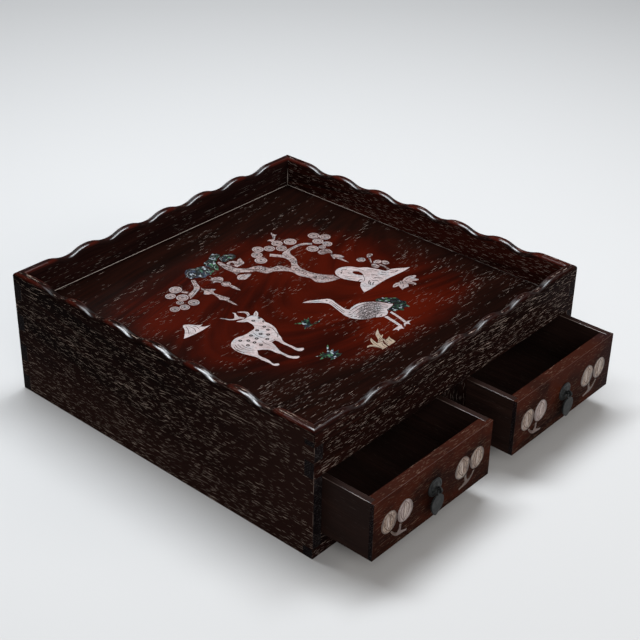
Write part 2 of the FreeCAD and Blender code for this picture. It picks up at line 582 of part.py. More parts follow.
CRANE = [(-4.5, -9.3, CORNER), (4, -12.4), (10, -16.6), (14.5, -19.6), (17.3, -22.5), (17.6, -26),
         (15.8, -32), (14.2, -40), (13.6, -45.5), (15.5, -48.4, CORNER), (20.5, -47), (27, -46.8),
         (34, -49.3), (40, -53.8), (45, -60.8), (47.7, -66), (50, -70.6, CORNER), (44, -72.4),
         (38, -72.7, CORNER), (36, -76), (31, -78.3), (26, -77.5), (21.5, -74.5), (15, -71),
         (9, -66.5), (5.4, -60), (4.5, -54), (5.8, -47), (7.8, -40), (9.8, -33), (10.6, -27.8, CORNER),
         (9.2, -24.4), (5, -19.2), (0, -14.2)]
NEAR_LEG = [(26.8, -79.2, CORNER), (30, -79.5, CORNER), (28.6, -88), (26.4, -98.2, CORNER),
            (23.5, -98.2, CORNER), (25.5, -88)]
FAR_LEG = [(36.2, -78, CORNER), (38.9, -77.8, CORNER), (37, -88), (34.2, -98.2, CORNER),
           (31.3, -98.2, CORNER), (34.4, -88)]
NEAR_FOOT = [(27, -98.8, CORNER), (20, -98.4), (13.3, -99.5, CORNER), (17.5, -101), (14.5, -105.3, CORNER),
             (20.5, -102.8), (23.3, -104.8, CORNER), (24.5, -101.8)]
FAR_FOOT = [(30.7, -98.8, CORNER), (34.8, -98.8, CORNER), (38, -99.8), (41.3, -101.4, CORNER),
            (35, -101), (32.7, -104.5, CORNER), (31.2, -101.3), (26.8, -103.2, CORNER), (28.3, -100.4)]
CRANE_TAIL = [(43.6, -57.3, CORNER), (44.5, -54.4), (49, -54.3), (54, -57.4), (58, -62),
              (61.3, -66.5), (60.3, -71), (62, -76), (58.6, -79.2), (57, -84), (51.5, -82),
              (48, -84.8), (44.5, -80.6), (40.6, -79.4), (39.5, -76.5), (38.6, -73.5, CORNER),
              (44.4, -73.2), (51.2, -71.1, CORNER), (48.6, -65.6), (45.9, -60.5)]

SMALL_TUFT = [(-38, -29.2, CORNER), (-33, -30.6), (-31, -33.4, CORNER), (-29.2, -29.4, CORNER),
              (-27.6, -31.8, CORNER), (-24.6, -29.2, CORNER), (-25.2, -32.4, CORNER),
              (-20.4, -30.8, CORNER), (-24.2, -35.6), (-26.2, -38.2), (-26.6, -42.8, CORNER),
              (-30, -41.6, CORNER), (-34, -42.8, CORNER), (-32.4, -40.4, CORNER),
              (-38.4, -42.2, CORNER), (-33.8, -38.6, CORNER), (-37, -37.8, CORNER), (-32.4, -36.6),
              (-33.6, -33.4)]
LYING_BLADE = [(-25.6, -39.8, CORNER), (-23.5, -41.2), (-20.5, -41.6), (-15.4, -40.2, CORNER),
               (-18.5, -42.6), (-22, -43.2), (-25.2, -42.2, CORNER)]
WIDE_TUFT = [(-61.5, -92.3, CORNER), (-56.5, -89.6, CORNER), (-60, -87.6, CORNER),
             (-57, -86.6, CORNER), (-66.5, -84.6, CORNER), (-60, -82.9, CORNER),
             (-65.3, -78.3, CORNER), (-59.3, -80.6, CORNER), (-57.8, -77.2, CORNER),
             (-57.6, -81.2, CORNER), (-55.6, -78.2, CORNER), (-54.6, -82, CORNER), (-51.5, -80.2),
             (-47.5, -76.3), (-43, -73.6, CORNER), (-46.6, -78), (-50.2, -82.3, CORNER),
             (-44.6, -80.6, CORNER), (-48.6, -85.2, CORNER), (-42.6, -85.6, CORNER),
             (-47.2, -89.2, CORNER), (-44.6, -91.6, CORNER), (-50, -92.8), (-56, -92.6)]
TAN_TUFT_LEFT = [(-17, -113, CORNER), (-16, -110), (-17, -107), (-18.5, -104.3),
                 (-23.5, -101.4, CORNER), (-20.5, -100), (-17.5, -101.2), (-16, -102.3, CORNER),
                 (-14.5, -99), (-12.5, -95.8), (-9.3, -93.8, CORNER), (-10.3, -97), (-11.6, -101),
                 (-12, -103.3, CORNER), (-9.5, -103.8), (-6.2, -104.8, CORNER), (-8.4, -107.2),
                 (-9.3, -110), (-9.8, -113, CORNER)]
TAN_TUFT_RIGHT = [(-8.4, -113.2, CORNER), (-7.6, -110), (-6.3, -107), (-4.8, -104.2, CORNER),
                  (-8, -103.5), (-11.4, -102.7, CORNER), (-9, -101.8), (-6.5, -99.5), (-4.2, -96),
                  (-2.5, -93.5), (1, -90.8), (7, -88, CORNER), (4.5, -90.8), (2, -93.8),
                  (-0.4, -98, CORNER), (2.8, -96.8, CORNER), (0.8, -98.8), (-1.6, -100),
                  (-2.4, -104.9, CORNER), (0, -104.7), (4.3, -103, CORNER), (2.4, -106),
                  (1.8, -109.5), (1.2, -112.8, CORNER)]

# Round slices of pine needles: middle x, middle y, radius
LEFT_NEEDLES = [(-67, 91, 6), (-78.2, 85.8, 4.8), (-72.5, 76, 5.6), (-80.3, 71, 3.4),
                (-91.5, 65.8, 4.5), (-83, 62, 4.6), (-71.5, 62.3, 5.2)]
RIGHT_NEEDLES = [(28, 73.6, 6), (33.4, 84, 5.5), (42.2, 91.2, 5.6), (51.2, 84.4, 5.5),
                 (64.2, 86.4, 5.5), (59.6, 76.4, 5.3), (75.6, 79.6, 6.3), (101.2, 71.6, 5.8),
                 (107, 61.7, 5.5), (95.2, 60.6, 5.4), (97.4, 50.2, 4.8), (80, 54, 6),
                 (88.9, 49.4, 3.5)]
SPRAY_DISC = (-27.3, 65.2, 4.5)


def floor_inlays():
    """Every slice in the tray floor, grouped as a cutter would name them."""
    return [
        floor_inlay("inlay_pine_trunk", [TRUNK, LEFT_BRANCH, LEFT_STALK, TOP_TWIG]),
        floor_inlay("inlay_pine_needles_left", discs=LEFT_NEEDLES),
        floor_inlay("inlay_pine_needles_right", discs=RIGHT_NEEDLES),
        floor_inlay("inlay_pine_crown", [CROWN_LEFT, CROWN_MIDDLE, CROWN_RIGHT]),
        floor_inlay("inlay_hanging_sprays",
                    [LEFT_SPRAY, MIDDLE_SPRAY, MIDDLE_SPRAY_TIP, CENTRE_LEAVES, CLUMP, CLUMP_HOLE,
                     RIGHT_SPRAY, RIGHT_SPRAY_TIP], [SPRAY_DISC]),
        floor_inlay("inlay_rock", [ROCK, ROCK_HOLE]),
        floor_inlay("inlay_rock_flowers",
                    [BUD, BUD_LEAF, BUD_TWIG, PETAL_LEFT, PETAL_TOP, PETAL_RIGHT, FLOWER_STEM]),
        floor_inlay("inlay_small_hill", [HILL]),
        floor_inlay("inlay_leaf_spray", [LEAVES]),
        floor_inlay("inlay_deer", [DEER, LEFT_ANTLER, RIGHT_ANTLER]),
        floor_inlay("inlay_crane", [CRANE, NEAR_LEG, FAR_LEG, NEAR_FOOT, FAR_FOOT]),
        floor_inlay("inlay_crane_tail", [CRANE_TAIL]),
        floor_inlay("inlay_green_grass", [SMALL_TUFT, LYING_BLADE, WIDE_TUFT]),
        floor_inlay("inlay_tan_grass", [TAN_TUFT_LEFT, TAN_TUFT_RIGHT]),
    ]


def cut_out(name, base, tools):
    """A piece with pockets the shape of the pieces that are set in it."""
    group = document.addObject("Part::Compound", name + "_pockets")
    group.Links = tools
    cut = document.addObject("Part::Cut", name + "_cut")
    cut.Base = base
    cut.Tool = group
    return keep(cut, name)


def tray_floor(inlays):
    """The panel that closes the well, with pockets for the inlay."""
    body = new_body("tray_floor_panel")
    box(body, "Additive", "tongue", *floor_groove())
    box(body, "Additive", "field", *floor_box("-floor_line", floor_top))
    for sign in (-1, 1):
        box(body, "Subtractive", "housing", *partition_box(sign))
    return cut_out("tray_floor_panel", body, inlays)


# The drawers

# The fruits' outlines, in millimetres from the motif's middle at this width of the pair
MOTIF_DRAWN = 39

LEFT_FRUIT = [(-19.3, -0.5), (-17.5, 6), (-12, 10), (-6, 9.5), (-1.5, 5), (-0.6, -1), (-2.5, -6.5),
              (-8, -9.8), (-14, -9), (-18, -5)]
RIGHT_FRUIT = [(0.6, -1), (1.2, 4.5), (5, 9), (10, 10.8), (15, 8.5), (18.8, 3), (19.4, -2.5),
               (16.5, -7.5), (11, -10), (4.5, -8.5), (1.6, -5)]
STEMS = [(-7.6, -10.7, CORNER), (-5.4, -11, CORNER), (-3, -14), (1.2, -16.3, CORNER), (3, -13.5),
         (3.4, -9.6, CORNER), (5.8, -10.2, CORNER), (5.6, -14), (5.2, -16.5, CORNER), (9, -18.3),
         (13.2, -19.2, CORNER), (12.5, -21, CORNER), (6, -20.2), (0.5, -19.3), (-4, -16)]

drawer_width = "((case_width - stile_width) / 2 - board_thick - 2 * drawer_side_gap)"
drawer_middle = "((case_width - 2 * board_thick + stile_width) / 4)"
drawer_face = f"({front_y} - drawer_open)"
drawer_rear = f"({drawer_face} + case_depth - board_thick - drawer_stop_gap)"
drawer_low = f"({bay_low} + drawer_under_gap)"
drawer_high = f"({bay_high} - drawer_top_gap)"
drawer_centre_height = f"(({drawer_low} + {drawer_high}) / 2)"
panel_low = f"({drawer_low} + drawer_bottom_up)"
panel_high = f"({panel_low} + drawer_bottom_thick)"
side_start = f"({drawer_face} + front_lip)"
pivot_height = f"({drawer_centre_height} + pull_height)"


def upright(thing):
    """Turn a flat outline to stand in the drawer front, seen from ahead."""
    thing.Placement = FreeCAD.Placement(FreeCAD.Vector(), FreeCAD.Rotation(FreeCAD.Vector(1, 0, 0), 90))


def front_inlay(name, middle, sign):
    """A pair of fruits on a stem, let into a drawer front: sign 1 is drawn as given."""
    sketch = document.addObject("Sketcher::SketchObject", name + "_outline")
    upright(sketch)
    bind(sketch, Placement__Base__x=f"{middle} - {sign} * motif_spacing",
         Placement__Base__y=f"{drawer_face} + inlay_thick", Placement__Base__z=drawer_centre_height)
    scale = number("motif_width") / MOTIF_DRAWN
    for points in (LEFT_FRUIT, RIGHT_FRUIT, STEMS):
        draw_outline(sketch, points, scale, mirror=sign)
    return slices(name, sketch)


def bottom_box(middle):
    """Corners of a drawer's bottom panel, with its edges in the grooves."""
    reach = f"({drawer_width} / 2 - drawer_side_thick + drawer_groove)"
    front = f"{drawer_face} + front_thick - drawer_groove"
    back = f"{drawer_rear} - drawer_side_thick + drawer_groove"
    return (f"{middle} - {reach}", front, panel_low), (f"{middle} + {reach}", back, panel_high)


def side_box(middle, sign):
    """Corners of a drawer side: sign -1 is the left one."""
    outer = f"({middle} + {sign} * {drawer_width} / 2)"
    inner = f"({middle} + {sign} * ({drawer_width} / 2 - drawer_side_thick))"
    low_x, high_x = (outer, inner) if sign < 0 else (inner, outer)
    return (low_x, side_start, drawer_low), (high_x, drawer_rear, drawer_high)


def back_box(middle):
    """Corners of a drawer back, with its ends in the sides' rabbets."""
    reach = f"({drawer_width} / 2 - drawer_side_thick + back_rabbet)"
    low = (f"{middle} - {reach}", f"{drawer_rear} - drawer_side_thick", drawer_low)
    return low, (f"{middle} + {reach}", drawer_rear, drawer_high)


def pin_hole(body, middle, start, end, radius):
    """A round hole along Y at the height of the pull."""
    hole = body.newObject("PartDesign::SubtractiveCylinder", "pin_hole")
    hole.Placement = FreeCAD.Placement(FreeCAD.Vector(), FreeCAD.Rotation(FreeCAD.Vector(1, 0, 0), -90))
    bind(hole, Placement__Base__x=middle, Placement__Base__y=start, Placement__Base__z=pivot_height,
         Radius=radius, Height=f"({end}) - ({start})")


def drawer_front(name, middle, inlays):
    """The inlaid front, rabbeted for the sides and bored for the pull."""
    body = new_body(name)
    half = f"{drawer_width} / 2"
    low = (f"{middle} - {half}", drawer_face, drawer_low)
    box(body, "Additive", "blank", low, (f"{middle} + {half}", f"{drawer_face} + front_thick", drawer_high))
    ease(body, {"y": drawer_face, "z": drawer_high}, {"y": drawer_face, "z": drawer_low},
         {"y": drawer_face, "x": f"{middle} - {half}"}, {"y": drawer_face, "x": f"{middle} + {half}"})
    for sign in (-1, 1):
        box(body, "Subtractive", "rabbet", *side_box(middle, sign))
    box(body, "Subtractive", "bottom_groove", *bottom_box(middle))
    start = f"{drawer_face} - {OVERCUT}"
    end = f"{drawer_face} + front_thick + {OVERCUT}"
    pin_hole(body, middle, start, end, "shank_radius + shank_clearance")
    return cut_out(name, body, inlays)


def drawer_box(drawer, middle):
    """The two sides, the back and the bottom of one drawer."""
    for side, sign in (("left", -1), ("right", 1)):
        body = new_body(f"{drawer}_{side}_side")
        low, high = side_box(middle, sign)
        box(body, "Additive", "blank", low, high)
        ease(body, {"x": low[0], "z": drawer_high}, {"x": high[0], "z": drawer_high})
        box(body, "Subtractive", "back_rabbet", *back_box(middle))
        box(body, "Subtractive", "bottom_groove", *bottom_box(middle))
        keep(body, f"{drawer}_{side}_side")
    body = new_body(f"{drawer}_back")
    box(body, "Additive", "blank", *back_box(middle))
    box(body, "Subtractive", "bottom_groove", *bottom_box(middle))
    keep(body, f"{drawer}_back")
    body = new_body(f"{drawer}_bottom")
    box(body, "Additive", "panel", *bottom_box(middle))
    keep(body, f"{drawer}_bottom")


def pull_plate(name, middle):
    """The round plate, turned about the pin and set flat on the drawer front."""
    body = new_body(name)
    sketch = sketch_on(body, "XZ_Plane", "profile")
    bore = "shank_radius + shank_clearance"
    polygon(sketch, [
        (bore, "0"),
        ("plate_radius", "0"),
        ("plate_radius", "plate_edge"),
        ("bead_radius", "bead_height"),
        ("dish_radius", "dish_height"),
        ("crown_radius", "crown_height"),
        (bore, "plate_middle"),
    ])
    turned = body.newObject("PartDesign::Revolution", "turned")
    turned.Profile = sketch
    turned.ReferenceAxis = (sketch, ["V_Axis"])
    turned.Angle = 360
    body.Placement = FreeCAD.Placement(FreeCAD.Vector(), FreeCAD.Rotation(FreeCAD.Vector(1, 0, 0), 90))
    bind(body, Placement__Base__x=middle, Placement__Base__y=drawer_face, Placement__Base__z=pivot_height)
    return keep(body, name)


def ring(name, axis, x, y, z):
    """A ring of the pull's wire about a given axis."""
    torus = document.addObject("Part::Torus", name)
    torus.Placement = FreeCAD.Placement(FreeCAD.Vector(), FreeCAD.Rotation(FreeCAD.Vector(0, 0, 1), axis))
    bind(torus, Radius1="eye_radius", Radius2="wire_radius",
         Placement__Base__x=x, Placement__Base__y=y, Placement__Base__z=z)
    return torus


def split_pin(name, middle):
    """The pin: an eye in front, a shank through the wood and two legs bent flat behind."""
    eye_y = f"({drawer_face} - eye_reach)"
    eye = ring(name + "_eye", FreeCAD.Vector(1, 0, 0), middle, eye_y, pivot_height)
    shank = document.addObject("Part::Cylinder", name + "_shank")
    shank.Placement = FreeCAD.Placement(FreeCAD.Vector(), FreeCAD.Rotation(FreeCAD.Vector(1, 0, 0), -90))
    start = f"({eye_y} + eye_radius)"
    end = f"({drawer_face} + front_thick + leg_thick)"
    bind(shank, Radius="shank_radius", Height=f"{end} - {start}",
         Placement__Base__x=middle, Placement__Base__y=start, Placement__Base__z=pivot_height)
    legs = document.addObject("Part::Box", name + "_legs")
    bind(legs, Length="2 * leg_long", Width="leg_thick", Height="2 * shank_radius",
         Placement__Base__x=f"{middle} - leg_long", Placement__Base__y=f"{drawer_face} + front_thick",
         Placement__Base__z=f"{pivot_height} - shank_radius")
    pin = document.addObject("Part::MultiFuse", name + "_fused")
    pin.Shapes = [eye, shank, legs]
    return keep(pin, name)


# Right half of the drop below its neck: share of the half width, share of the way down
DROP_SHAPE = [(0.75, 0.12), (1, 0.38), (0.9, 0.62), (0.5, 0.86)]


def pull_drop(name, middle, lean):
    """The hanging drop: a ring linked through the eye, over a flat leaf-shaped plate."""
    loop = ring(name + "_ring", FreeCAD.Vector(0, 1, 0), "0", "0", "0")
    sketch = document.addObject("Sketcher::SketchObject", name + "_outline")
    upright(sketch)
    wide, neck = number("drop_half_width"), number("drop_neck")
    top, tip = -number("eye_radius"), number("eye_radius - drop_length")
    right = [(wide * across, top + down * (tip - top)) for across, down in DROP_SHAPE]
    left = [(-x, z) for x, z in reversed(right)]
    draw_outline(sketch, [(neck, top, CORNER), *right, (0, tip), *left, (-neck, top, CORNER)])
    leaf = document.addObject("Part::Extrusion", name + "_leaf")
    leaf.Base = sketch
    leaf.DirMode = "Normal"
    leaf.Solid = True
    leaf.Symmetric = True
    bind(leaf, LengthFwd="drop_thick")
    document.recompute()
    softened = document.addObject("Part::Fillet", name + "_softened")
    softened.Base = leaf
    rim = [index for index, edge in enumerate(leaf.Shape.Edges, start=1)
           if edge.BoundBox.YLength < TOUCH and edge.BoundBox.ZMin < top - TOUCH]
    softened.Edges = [(index, number("drop_round"), number("drop_round")) for index in rim]
    drop = document.addObject("Part::MultiFuse", name + "_fused")
    drop.Shapes = [loop, softened]
    document.recompute()
    askew = FreeCAD.Rotation(FreeCAD.Vector(0, 1, 0), number(lean))
    drop.Placement = FreeCAD.Placement(FreeCAD.Vector(), askew)
    bind(drop, Placement__Base__x=middle, Placement__Base__y=f"{drawer_face} - eye_reach",
         Placement__Base__z=f"{pivot_height} - eye_radius")
    return keep(drop, name)


def build_drawer(drawer, sign, lean):
    """Everything that slides with one drawer, and its hanging drop."""
    middle = f"({sign} * {drawer_middle})"
    left_inlay = front_inlay(f"{drawer}_inlay_left", middle, 1)
    right_inlay = front_inlay(f"{drawer}_inlay_right", middle, -1)
    drawer_front(f"{drawer}_front", middle, [left_inlay, right_inlay])
    drawer_box(drawer, middle)
    pull_plate(f"{drawer}_pull_plate", middle)
    split_pin(f"{drawer}_split_pin", middle)
    pull_drop(f"{drawer}_pull_drop", middle, lean)


side_board("left_side_board", -1)
side_board("right_side_board", 1)
back_board()
front_top_rail()
front_bottom_rail()
centre_stile()
partition("left_partition", -1)
partition("right_partition", 1)
bottom_board()
tray_floor(floor_inlays())
build_drawer("left_drawer", -1, "left_lean")
build_drawer("right_drawer", 1, "right_lean")
document.recompute()

# Every object has to be whole before anything is written
for thing in document.Objects:
    if "Invalid" in thing.State or "Error" in thing.State:
        raise RuntimeError(f"{thing.Label} failed: {thing.State}")
for node in nodes:
    if node.Shape.isNull() or not node.Shape.isValid() or not node.Shape.Solids:
        raise RuntimeError(f"{node.Label} is not a sound solid")

os.makedirs("parts", exist_ok=True)
for node in nodes:
    node.Shape.exportStep(f"parts/{node.Label}.step")
    print(f"{node.Label:28s} solids {len(node.Shape.Solids):3d}  volume {node.Shape.Volume:12.1f}")
print(len(nodes), "nodes")
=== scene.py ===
# %% [markdown]
# A square tray stands on a low case with two drawers. Walls, rails and drawers are dark rosewood, the
# sunk floor carries a picture in shell, and each drawer has a small brass pull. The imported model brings
# every solid piece at its real size, so this lesson adds finishes, engraved lines, light and a camera.

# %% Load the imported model
import math

import bpy
from mathutils import Matrix, Vector


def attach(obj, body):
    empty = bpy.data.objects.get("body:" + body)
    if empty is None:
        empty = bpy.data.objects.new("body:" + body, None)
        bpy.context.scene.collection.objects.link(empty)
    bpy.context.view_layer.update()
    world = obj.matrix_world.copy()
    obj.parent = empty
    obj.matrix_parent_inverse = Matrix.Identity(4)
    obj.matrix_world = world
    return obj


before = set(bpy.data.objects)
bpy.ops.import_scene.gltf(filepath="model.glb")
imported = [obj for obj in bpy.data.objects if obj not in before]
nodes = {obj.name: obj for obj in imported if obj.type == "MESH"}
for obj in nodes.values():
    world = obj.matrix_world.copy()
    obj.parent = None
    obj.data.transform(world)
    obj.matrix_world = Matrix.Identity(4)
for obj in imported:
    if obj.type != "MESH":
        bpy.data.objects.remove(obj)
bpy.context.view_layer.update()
print("pieces of the model:", len(nodes))

# %% [markdown]
# The photograph was taken from above the near left corner. Two angles, a small roll, a place and a focal
# length say that view completely. They were worked out from the corners of the case, so the camera is set
# with those numbers and isn't aimed by eye.

# %% Put the camera where the photographer stood
camera_place = Vector((-0.81634, -0.70473, 0.72018))
heading = math.radians(49.088)
tilt_down = math.radians(30.692)
roll = math.radians(1.226)

ahead = Vector((
    math.sin(heading) * math.cos(tilt_down),
    math.cos(heading) * math.cos(tilt_down),
    -math.sin(tilt_down),
))
level_right = Vector((math.cos(heading), -math.sin(heading), 0))
level_up = level_right.cross(ahead)
right = level_right * math.cos(roll) + level_up * math.sin(roll)
up = level_up * math.cos(roll) - level_right * math.sin(roll)

camera = bpy.data.objects.new("camera", bpy.data.cameras.new("camera"))
bpy.context.scene.collection.objects.link(camera)
bpy.context.scene.camera = camera
camera.data.sensor_width = 36
camera.data.lens = 78.15
camera.data.clip_start = 0.05
camera.matrix_world = Matrix.Translation(camera_place) @ Matrix((right, up, -ahead)).transposed().to_4x4()
bpy.context.scene.view_settings.view_transform = "Standard"
print("camera looks along", [round(part, 3) for part in ahead])

# %% [markdown]
# Shader sums are easier to read as sums than as a web of nodes. A small class wraps one output of a node
# and answers to plus, minus, times and divide, each of which adds a Math node. A second class holds one
# material's tree, and its one method for nodes takes the kind, then the settings, then the sockets.

# %% Write shader sums as Python
class Amount:
    """A number that varies over the surface. Python can do sums with it."""

    def __init__(self, finish, socket):
        self.finish = finish
        self.socket = socket

    def __add__(self, other):
        return self.finish.maths("ADD", self, other)

    __radd__ = __add__

    def __sub__(self, other):
        return self.finish.maths("SUBTRACT", self, other)

    def __rsub__(self, other):
        return self.finish.maths("SUBTRACT", other, self)

    def __mul__(self, other):
        return self.finish.maths("MULTIPLY", self, other)

    __rmul__ = __mul__

    def __truediv__(self, other):
        return self.finish.maths("DIVIDE", self, other)

    def __rtruediv__(self, other):
        return self.finish.maths("DIVIDE", other, self)


class Finish:
    """One material: its nodes, and the few sums and patterns that the pieces share."""

    def __init__(self, name):
        self.material = bpy.data.materials.new(name)
        self.material.use_nodes = True
        self.tree = self.material.node_tree
        self.tree.nodes.clear()

    def node(self, kind, settings=None, sockets=None):
        """A node of that kind, its settings made first, then its sockets given values or links. A colour
        is written as its red, green and blue."""
        made = self.tree.nodes.new("ShaderNode" + kind)
        for setting, value in (settings or {}).items():
            setattr(made, setting, value)
        for name, value in (sockets or {}).items():
            socket = made.inputs[name]
            value = value.socket if isinstance(value, Amount) else value
            if isinstance(value, bpy.types.NodeSocket):
                self.tree.links.new(value, socket)
            else:
                socket.default_value = (*value, 1) if socket.type == "RGBA" else value
        return made

    def maths(self, operation, *terms):
        made = self.node("Math", {"operation": operation}, dict(enumerate(terms)))
        return Amount(self, made.outputs[0])

    def larger(self, first, second):
        return self.maths("MAXIMUM", first, second)

    def root(self, value):
        return self.maths("SQRT", value)

    def size(self, value):
        return self.maths("ABSOLUTE", value)

    def step(self, value, low, high):
        """0 below low, 1 above high, and a smooth step between them."""
        made = self.node(
            "MapRange",
            {"interpolation_type": "SMOOTHSTEP"},
            {"Value": value, "From Min": low, "From Max": high},
        )
        return Amount(self, made.outputs["Result"])

    def place(self):
        """x, y and z in the frame of the model, in metres."""
        split = self.node("SeparateXYZ", None, {0: self.node("TexCoord").outputs["Object"]})
        return [Amount(self, split.outputs[axis]) for axis in "XYZ"]

    def facing(self):
        """How far the surface faces along x, y and z, from -1 to 1."""
        split = self.node("SeparateXYZ", None, {0: self.node("TexCoord").outputs["Normal"]})
        return [Amount(self, split.outputs[axis]) for axis in "XYZ"]

    def point(self, *parts):
        return self.node("CombineXYZ", None, dict(enumerate(parts))).outputs[0]

    def noise(self, where, detail=2, roughness=0.5):
        made = self.node(
            "TexNoise", None, {"Vector": where, "Scale": 1, "Detail": detail, "Roughness": roughness}
        )
        return Amount(self, made.outputs[0])

    def cloud(self, where, density, detail=2, roughness=0.5):
        """Noise with that many clouds to the metre."""
        return self.noise(self.point(*[part * density for part in where]), detail, roughness)

    def patches(self, where):
        """A random number for each of many small patches."""
        made = self.node("TexVoronoi", None, {"Vector": where, "Scale": 1})
        pick = self.node("SeparateColor", None, {0: made.outputs["Color"]})
        return Amount(self, pick.outputs[0])

    def flecks(self, along, across, share):
        """Slender flecks, one for each unit of along by across, of which that share is there. A small
        fleck is fainter than a large one."""
        made = self.node(
            "TexVoronoi", {"voronoi_dimensions": "2D"}, {"Vector": self.point(along, across), "Scale": 1}
        )
        pick = self.node("SeparateColor", None, {0: made.outputs["Color"]})
        chance, size = [Amount(self, pick.outputs[number]) for number in (0, 1)]
        half_width = 0.07 + 0.11 * size
        inside = 1 - self.step(Amount(self, made.outputs["Distance"]) / half_width, 0.55, 1)
        there = self.step(chance + share, 0.97, 1.03)
        return inside * there * (0.28 + 0.72 * size)

    def blend(self, share, first, second):
        """A colour between two colours."""
        made = self.node("Mix", {"data_type": "RGBA"}, {0: share, 6: first, 7: second})
        return made.outputs[2]

    def bumps(self, height, distance, strength=1):
        return self.node(
            "Bump", None, {"Height": height, "Distance": distance, "Strength": strength}
        ).outputs["Normal"]

    def surface(self, sockets):
        shader = self.node("BsdfPrincipled", None, sockets)
        self.node("OutputMaterial", None, {0: shader.outputs[0]})
        return self.material


print("shader sums are ready")

# %% [markdown]
# The studio is a pale floor that fills the frame, a dim even world and a few soft lamps. The wood is
# almost black and half glossy, so every pale thing shows in it. The main lamp hangs overhead, a little
# behind the tray, where the rounded rim mirrors it as streaks and the flat floor doesn't. The fill comes
# from the camera's side for the same reason: it lights the wood and isn't mirrored in it. A weak lamp
# behind the far corner lays a little bluish haze there.

# %% Lay the floor and hang the lamps
floor_mesh = bpy.data.meshes.new("studio_floor")
floor_half = 9
under_the_case = -0.0002
floor_corners = [(x * floor_half, y * floor_half, 0) for x, y in ((-1, -1), (1, -1), (1, 1), (-1, 1))]
floor_mesh.from_pydata(floor_corners, [], [(0, 1, 2, 3)])
floor = bpy.data.objects.new("studio_floor", floor_mesh)
bpy.context.scene.collection.objects.link(floor)
floor.location.z = under_the_case

floor_finish = Finish("studio_floor")
light_path = floor_finish.node("LightPath").outputs
camera_ray, glossy_ray, glass_ray = [
    Amount(floor_finish, light_path[f"Is {kind} Ray"]) for kind in ("Camera", "Glossy", "Transmission")
]
seen = floor_finish.larger(camera_ray, floor_finish.larger(glossy_ray, glass_ray))
floor_mesh.materials.append(floor_finish.surface({
    "Base Color": floor_finish.blend(seen, (0.22, 0.21, 0.2), (0.64, 0.63, 0.62)),
    "Roughness": 0.9,
    "Specular IOR Level": 0.1,
}))

world = bpy.data.worlds.new("studio")
bpy.context.scene.world = world
world.use_nodes = True
background = world.node_tree.nodes["Background"]
background.inputs["Color"].default_value = (0.95, 0.97, 1, 1)
background.inputs["Strength"].default_value = 0.11
middle_of_tray = Vector((0, 0.03, 0.09))


def lamp(name, place, width, height, watts, tint):
    """A soft rectangular lamp, turned towards the tray."""
    light = bpy.data.lights.new(name, "AREA")
    light.shape = "RECTANGLE"
    light.size = width
    light.size_y = height
    light.energy = watts
    light.color = tint
    made = bpy.data.objects.new(name, light)
    made.location = place
    made.rotation_euler = (middle_of_tray - Vector(place)).to_track_quat("-Z", "Y").to_euler()
    bpy.context.scene.collection.objects.link(made)


lamp("overhead_lamp", (0.2, 0.36, 1.6), 1.4, 0.42, 34, (0.9, 0.95, 1))
lamp("camera_side_fill", (-1.45, -1.5, 1.5), 1.6, 1.6, 19, (1, 0.985, 0.97))
lamp("front_fill", (0.8, -1.75, 0.9), 1, 0.7, 11, (1, 0.97, 0.94))
lamp("far_corner_haze", (0.85, 1.65, 1.1), 0.6, 0.5, 2.5, (0.9, 0.95, 1))

# %% [markdown]
# Rosewood is dark brown to black with redder bands, and its open pores are filled with pale wax, which
# shows as thin dashes along the grain. A board is cut from a trunk, so its rings are measured from a line
# through the wood, the pith. Where the pith runs close under the face and at a slant, the rings come out
# as nested arches. One function makes the wood, and each board says where its pith lay.
#
# Noise with a cut-off makes blocky dashes. The cells of a Voronoi texture, stretched along the grain,
# give each dash a place and a size. They lean a little, because straight cells stand in columns.

# %% Make rosewood from rings and pores
PALE_WAX = (0.34, 0.285, 0.25)
BLACK_VEIN = (0.002, 0.0012, 0.001)
# The second colour here is a painted red glow for the crests of the rim, beside the highlights.
BLACK_RIM, PAINTED_CREST_GLOW = (0.0045, 0.0019, 0.0015), (0.052, 0.0072, 0.0038)
RUBBED_EDGE = (0.27, 0.2, 0.17)
TOO_FAR = 1
rim_from, rim_to = 0.108, 0.114
crest_from, crest_to = 0.1188, 0.1214
sharp_edges_end = 0.1075


